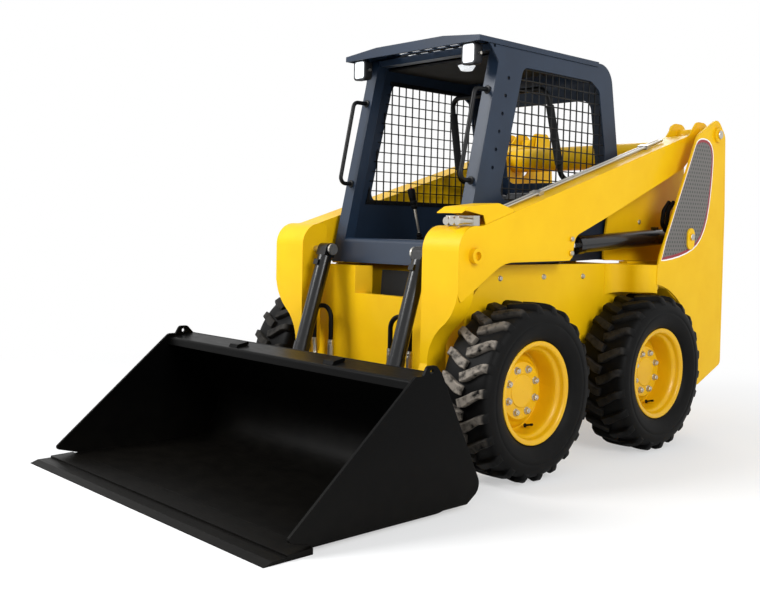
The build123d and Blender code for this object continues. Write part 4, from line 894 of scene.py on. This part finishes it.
class LOADER_OT_lamps(bpy.types.Operator):
    """Makes the work lamps under the roof's front corners and the tail lamps, with housings and lenses"""

    bl_idname = "loader.lamps"
    bl_label = "Make the lamps"

    def execute(self, context):
        look = context.scene.loader_lamps
        radius, rim = look.housing_radius / MM, look.lens_inset / MM
        shape = bmesh.new()
        for flip in SIDES.values():
            place = flip @ facing((0, -1, 0), (0.360, -0.132, 1.846))
            layered(shape, place, [
                (0, rounded_outline(30, 38, radius - 4)), (5, rounded_outline(35, 43, radius - 2)),
                (22, rounded_outline(40, 48, radius)), (46, rounded_outline(42, 50, radius)),
                (56, rounded_outline(42, 50, radius)), (58, rounded_outline(41, 49, radius - 1)),
                (58, rounded_outline(42 - rim, 50 - rim, radius - 5)),
                (52, rounded_outline(40 - rim, 48 - rim, 9)),
            ])
            glass = rounded_outline(41.4 - rim, 49.4 - rim, 12)
            layered(shape, place, [
                (53, glass), (58.4, glass), (60.4, rounded_outline(38 - rim, 46 - rim, 11)),
                (61.4, rounded_outline(26 - rim, 32 - rim, 8)),
            ], 1)
            bracket = rounded_outline(12, 7, 2)
            upright = Matrix.Translation((0.36, -0.161, 1.893)) @ Matrix.Rotation(-pi / 2, 4, "Y")
            layered(shape, flip @ upright, [(0, bracket), (17, bracket)])
            for across in (-46, 46):
                spot = place @ Matrix.Translation((30 * MM, across * MM, 0)) @ Matrix.Rotation(pi / 2, 4, "Z")
                lathe(shape, [(-5, 0), (-5, 7), (5, 7), (5, 0)], spot, 16, finish=2)
        piece = finish_piece("roof_work_lamps", shape, "plastic", "chassis", 35, ("lens", "zinc"))
        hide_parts("work_lamps")
        shape = bmesh.new()
        for flip in SIDES.values():
            place = flip @ facing((0, 1, 0), (0.600, 1.560, 0.840))
            layered(shape, place, [
                (1, rounded_outline(60, 40, 12)), (16, rounded_outline(60, 40, 12)),
                (17, rounded_outline(59, 39, 11)), (17, rounded_outline(53, 33, 7)),
                (14, rounded_outline(52, 32, 7)),
            ])
            for middle, finish in ((-26, 1), (26, 2)):
                layered(shape, place @ Matrix.Translation((0, middle * MM, 0)), [
                    (13, rounded_outline(25, 31, 5)), (19, rounded_outline(25, 31, 5)),
                    (21, rounded_outline(22, 28, 4)),
                ], finish)
        piece = finish_piece("rear_tail_lamps", shape, "plastic", "chassis", 35, ("red_lens", "lens"))
        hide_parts("tail_lamps")
        return {"FINISHED"}


class LoaderCabRails(bpy.types.PropertyGroup):
    handle_radius: bpy.props.FloatProperty(
        name="Handle radius", description="Radius of the grab handles", default=0.010, unit="LENGTH"
    )
    pad_radius: bpy.props.FloatProperty(
        name="Pad radius", description="Radius of the foam on the restraint bar", default=0.020, unit="LENGTH"
    )


class LOADER_OT_cab_rails(bpy.types.Operator):
    """Makes the grab handles and the padded restraint bar"""

    bl_idname = "loader.cab_rails"
    bl_label = "Make the cab rails"

    def execute(self, context):
        look = context.scene.loader_cab_rails
        shape = bmesh.new()
        for flip in SIDES.values():
            route = bent_route([
                (400, -98, 1693.3), (400, -184.8, 1693.3), (400, -270.8, 1286.5), (400, -194, 1286.5),
            ], 30, 10)
            tube_along(shape, [flip @ spot for spot in route], look.handle_radius / MM, 22)
            for z, y in ((1693.3, -101), (1286.5, -197)):
                lathe(shape, [(0, 0), (0, 19), (3, 19), (4.5, 17), (4.5, 0)],
                      flip @ facing((0, -1, 0), (0.4, y * MM, z * MM)), 28)
        piece = finish_piece("round_grab_handles", shape, "black", "chassis", 40)
        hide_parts("grab_handles")
        shape = bmesh.new()
        route = bent_route([
            (340, 680, 1325), (340, 545, 1335), (316, 440, 1770), (-316, 440, 1770), (-340, 545, 1335),
            (-340, 680, 1325),
        ], 60, 10)
        tube_along(shape, route, 13, 24)
        for flip in SIDES.values():
            lathe(shape, [(-14, 16), (-14, 28), (-12, 30), (12, 30), (14, 28), (14, 16)],
                  flip @ Matrix.Translation((0.340, 0.700, 1.325)), 32)
        piece = finish_piece("bent_restraint_bar", shape, "black", "restraint", 40)
        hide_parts("restraint_bar")
        shape = bmesh.new()
        low, high = Vector((0.3365, 0.5294, 1.400)), Vector((0.3205, 0.4595, 1.690))
        pad = look.pad_radius / MM
        profile = [(0, 13), (0, pad - 4), (4, pad)]
        profile += [(length, pad) for length in range(20, 281, 20)]
        profile += [(294, pad), (298, pad - 4), (298, 13)]
        for flip in SIDES.values():
            lathe(shape, profile, flip @ facing((high - low).normalized(), low), 28)
        pads = finish_piece("restraint_foam_pads", shape, "liner", "restraint", 40)
        return {"FINISHED"}


class LoaderControls(bpy.types.PropertyGroup):
    boot_folds: bpy.props.IntProperty(
        name="Boot folds", description="Folds of a lever's boot", default=6, min=2
    )
    knob_radius: bpy.props.FloatProperty(
        name="Knob radius", description="Radius of the widest part of a grip", default=0.019, unit="LENGTH"
    )


class LOADER_OT_controls(bpy.types.Operator):
    """Makes the two drive levers with bellows boots, straight leaning stems and moulded grips"""

    bl_idname = "loader.controls"
    bl_label = "Make the levers"

    def execute(self, context):
        look = context.scene.loader_controls
        knob = look.knob_radius / MM
        shape = bmesh.new()
        for flip in SIDES.values():
            base = flip @ Matrix.Translation((0.2, 0.123, 0.0)) @ Matrix.Rotation(-pi / 2, 4, "Y")
            layered(shape, base, [
                (901, rounded_outline(26, 32, 6)), (957, rounded_outline(26, 32, 6)),
                (961, rounded_outline(22, 28, 5)),
            ])
            place = flip @ facing((22, -68, 312), (0.2, 0.118, 0.961))
            folds = [(0, 0), (0, 27)]
            for index in range(look.boot_folds):
                share = index / look.boot_folds
                start = 4 + 86 * share
                reach = 26 - 13 * share
                folds += [(start, reach), (start + 6, reach), (start + 9, reach - 6), (start + 11, reach - 6)]
            lathe(shape, folds + [(92, 11), (92, 0)], place, 28)
            lathe(shape, [(90, 0), (90, 7), (216, 7), (216, 0)], place, 18, finish=1)
            lathe(shape, [
                (214, 0), (214, 13), (218, 15), (232, 16), (236, 14.6), (240, 16.4), (254, 17), (258, 15.4),
                (262, 17.2), (280, knob), (300, knob + 0.8), (312, knob), (318, knob - 5), (320, 0),
            ], place, 28)
            lathe(shape, [(318, 0), (318, 7), (322, 7), (323.5, 5.5), (323.5, 0)], place, 18, finish=2)
        piece = finish_piece("booted_control_levers", shape, "hose", "chassis", 35, ("zinc", "red_lens"))
        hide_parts("control_levers")
        return {"FINISHED"}


class LoaderSeat(bpy.types.PropertyGroup):
    cushion_radius: bpy.props.FloatProperty(
        name="Cushion radius", description="Radius of the cushions' edges", default=0.034, unit="LENGTH"
    )


class LOADER_OT_seat(bpy.types.Operator):
    """Makes the seat: a pan, a cushion with side bolsters and a padded back"""

    bl_idname = "loader.seat"
    bl_label = "Make the seat"

    def execute(self, context):
        look = context.scene.loader_seat
        edge = look.cushion_radius / MM
        shape = bmesh.new()
        rounded_box(shape, (-232, 372, 901), (232, 706, 962), 12)
        rounded_box(shape, (-205, 690, 940), (205, 772, 1240), 26)
        pan = finish_piece("seat_pan", shape, "plastic", "chassis", 35)
        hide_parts("seat")
        shape = bmesh.new()
        rounded_box(shape, (-170, 358, 950), (170, 690, 1006), edge * 0.8, 6)
        for flip in SIDES.values():
            side = bmesh.new()
            rounded_box(side, (165, 356, 948), (238, 694, 1022), edge, 6)
            bmesh.ops.transform(side, matrix=flip, verts=side.verts)
            add_shape(shape, side)
        cushion = finish_piece("seat_cushion", shape, "vinyl", "chassis", 60)
        shape = bmesh.new()
        rounded_box(shape, (-165, 0, 0), (165, 58, 272), edge * 0.8, 6)
        for flip in SIDES.values():
            side = bmesh.new()
            rounded_box(side, (150, -10, 0), (224, 60, 262), edge * 0.95, 6)
            bmesh.ops.transform(side, matrix=flip, verts=side.verts)
            add_shape(shape, side)
        lean = Matrix.Translation((0, 0.668, 1.012)) @ Matrix.Rotation(radians(-10), 4, "X")
        bmesh.ops.transform(shape, matrix=lean, verts=shape.verts)
        back = finish_piece("seat_back", shape, "vinyl", "chassis", 60)
        return {"FINISHED"}


# The camera stands where the photograph was taken from, found by fitting known points of the machine.
CAMERA_PLACE = (3.2536, -3.3991, 1.0617)
CAMERA_AZIMUTH = 46.33
CAMERA_DOWN = 3.69
CAMERA_ROLL = 1.234
CAMERA_LENS = 45.66
CAMERA_SHIFT = (-0.01297, -0.01068)
SENSOR = 36.0


def make_camera():
    """The camera at the photograph's place, turned about the upright axis, down and about its own axis."""
    turn, down, roll = radians(CAMERA_AZIMUTH), radians(CAMERA_DOWN), radians(CAMERA_ROLL)
    forward = Vector((-sin(turn) * cos(down), cos(turn) * cos(down), -sin(down)))
    level = Vector((cos(turn), sin(turn), 0))
    upright = level.cross(forward)
    right = level * cos(roll) + upright * sin(roll)
    up = right.cross(forward)
    camera = bpy.data.objects.new("camera", bpy.data.cameras.new("camera"))
    bpy.context.scene.collection.objects.link(camera)
    axes = Matrix((right, up, -forward)).transposed()
    camera.matrix_world = Matrix.Translation(CAMERA_PLACE) @ axes.to_4x4()
    camera.data.sensor_width = SENSOR
    camera.data.lens = CAMERA_LENS
    camera.data.shift_x, camera.data.shift_y = CAMERA_SHIFT
    bpy.context.scene.camera = camera


def add_lamp(name, place, target, size, power):
    """A round soft lamp that looks from its place at a target."""
    data = bpy.data.lights.new(name, "AREA")
    data.shape = "DISK"
    data.size = size
    data.energy = power
    lamp = bpy.data.objects.new(name, data)
    bpy.context.scene.collection.objects.link(lamp)
    lamp.location = place
    lamp.rotation_mode = "QUATERNION"
    lamp.rotation_quaternion = (Vector(target) - Vector(place)).to_track_quat("-Z", "Y")


class LoaderStage(bpy.types.PropertyGroup):
    floor_colour: bpy.props.StringProperty(name="Floor", description="Colour of the floor", default="#F4F4F4")
    key_power: bpy.props.FloatProperty(
        name="Key power", description="Power of the large front lamp", default=400.0, unit="POWER"
    )
    side_power: bpy.props.FloatProperty(
        name="Side power", description="Power of the lamp on the machine's left", default=222.0, unit="POWER"
    )
    back_power: bpy.props.FloatProperty(
        name="Back power", description="Power of the lamp behind the machine", default=110.0, unit="POWER"
    )
    shadow_reach: bpy.props.FloatProperty(
        name="Shadow reach", description="How far from the machine the floor fades to white", default=4.2,
        unit="LENGTH",
    )


class LOADER_OT_stage(bpy.types.Operator):
    """Makes the camera, the floor and the lamps"""

    bl_idname = "loader.stage"
    bl_label = "Make the studio"

    def execute(self, context):
        look = context.scene.loader_stage
        make_camera()
        floor_mesh = bpy.data.meshes.new("floor")
        half = 30.0
        corners = [(-half, -half, 0), (half, -half, 0), (half, half, 0), (-half, half, 0)]
        floor_mesh.from_pydata(corners, [], [(0, 1, 2, 3)])
        floor = bpy.data.objects.new("floor", floor_mesh)
        context.scene.collection.objects.link(floor)
        # Matt paper: it takes the machine's shadow, and further out it is as white as the background.
        material, tree, point = new_material("floor_matt_paper")
        away = add_node(tree, "ShaderNodeVectorMath", {"operation": "LENGTH"}, {0: point})
        fade = add_node(
            tree, "ShaderNodeMapRange",
            {"From Min": 1.9, "From Max": look.shadow_reach, "To Min": 0.45, "To Max": 1.0},
            {"Value": away.outputs["Value"]},
        )
        path = add_node(tree, "ShaderNodeLightPath")
        seen = add_node(
            tree, "ShaderNodeMath", {"operation": "MULTIPLY"},
            {0: fade.outputs[0], 1: path.outputs["Is Camera Ray"]},
        )
        paper = add_node(
            tree, "ShaderNodeBsdfPrincipled",
            {"Base Color": linear(look.floor_colour), "Roughness": 0.9, "Specular IOR Level": 0.0},
        )
        white = add_node(tree, "ShaderNodeEmission", {"Color": linear("#FFFFFF"), "Strength": 1.0})
        mix = add_node(
            tree, "ShaderNodeMixShader", links={0: seen.outputs[0], 1: paper.outputs[0], 2: white.outputs[0]}
        )
        floor_mesh.materials.append(finish_material(material, mix))
        world = bpy.data.worlds.new("studio")
        context.scene.world = world
        world.use_nodes = True
        tree = world.node_tree
        tree.nodes.clear()
        # The sky lights the machine; what the camera, gloss and glass see of it is plain white.
        sky = add_node(tree, "ShaderNodeBackground", {"Color": linear("#F2F5F8"), "Strength": 0.55})
        back = add_node(tree, "ShaderNodeBackground", {"Color": linear("#FFFFFF"), "Strength": 1.0})
        ray = add_node(tree, "ShaderNodeLightPath")
        shiny = add_node(
            tree, "ShaderNodeMath", {"operation": "MAXIMUM"},
            {0: ray.outputs["Is Glossy Ray"], 1: ray.outputs["Is Transmission Ray"]},
        )
        both = add_node(
            tree, "ShaderNodeMath", {"operation": "MAXIMUM"},
            {0: ray.outputs["Is Camera Ray"], 1: shiny.outputs[0]},
        )
        mixed = add_node(
            tree, "ShaderNodeMixShader",
            links={0: both.outputs[0], 1: sky.outputs[0], 2: back.outputs[0]},
        )
        add_node(tree, "ShaderNodeOutputWorld", links={"Surface": mixed.outputs[0]})
        add_lamp("key", (-2.5, -5.0, 4.6), (0, 0, 0.8), 3.0, look.key_power)
        add_lamp("side", (6.0, -1.5, 3.5), (0, 0, 0.9), 3.0, look.side_power)
        add_lamp("back", (-2.0, 6.0, 4.0), (0, 0, 1.0), 3.0, look.back_power)
        context.scene.view_settings.view_transform = "Standard"
        return {"FINISHED"}


class LOADER_PT_panel(bpy.types.Panel):
    """Lists every size and colour, and every operator"""

    bl_label = "Loader"
    bl_idname = "LOADER_PT_panel"
    bl_space_type = "VIEW_3D"
    bl_region_type = "UI"
    bl_category = "Loader"

    def draw(self, context):
        for name, group in GROUPS.items():
            settings = getattr(context.scene, name)
            for setting in group.__annotations__:
                self.layout.prop(settings, setting)
        for operator in OPERATORS:
            self.layout.operator(operator.bl_idname)


OPERATORS = (
    LOADER_OT_stage, LOADER_OT_finishes, LOADER_OT_tyres, LOADER_OT_rims, LOADER_OT_decals,
    LOADER_OT_fasteners, LOADER_OT_fairings, LOADER_OT_hoses, LOADER_OT_lamps, LOADER_OT_cab_rails,
    LOADER_OT_controls, LOADER_OT_seat,
)
GROUPS = {
    "loader_stage": LoaderStage, "loader_finishes": LoaderFinishes, "loader_tyres": LoaderTyres,
    "loader_rims": LoaderRims, "loader_decals": LoaderDecals, "loader_fasteners": LoaderFasteners,
    "loader_fairings": LoaderFairings, "loader_hoses": LoaderHoses, "loader_lamps": LoaderLamps,
    "loader_cab_rails": LoaderCabRails, "loader_controls": LoaderControls, "loader_seat": LoaderSeat,
}


def register():
    for group in GROUPS.values():
        bpy.utils.register_class(group)
    for name, group in GROUPS.items():
        setattr(bpy.types.Scene, name, bpy.props.PointerProperty(type=group))
    for operator in OPERATORS:
        bpy.utils.register_class(operator)
    bpy.utils.register_class(LOADER_PT_panel)


def unregister():
    bpy.utils.unregister_class(LOADER_PT_panel)
    for operator in reversed(OPERATORS):
        bpy.utils.unregister_class(operator)
    for name, group in GROUPS.items():
        delattr(bpy.types.Scene, name)
        bpy.utils.unregister_class(group)


def main():
    register()
    for operator in OPERATORS:
        family, name = operator.bl_idname.split(".")
        getattr(getattr(bpy.ops, family), name)()


if __name__ == "__main__":
    main()
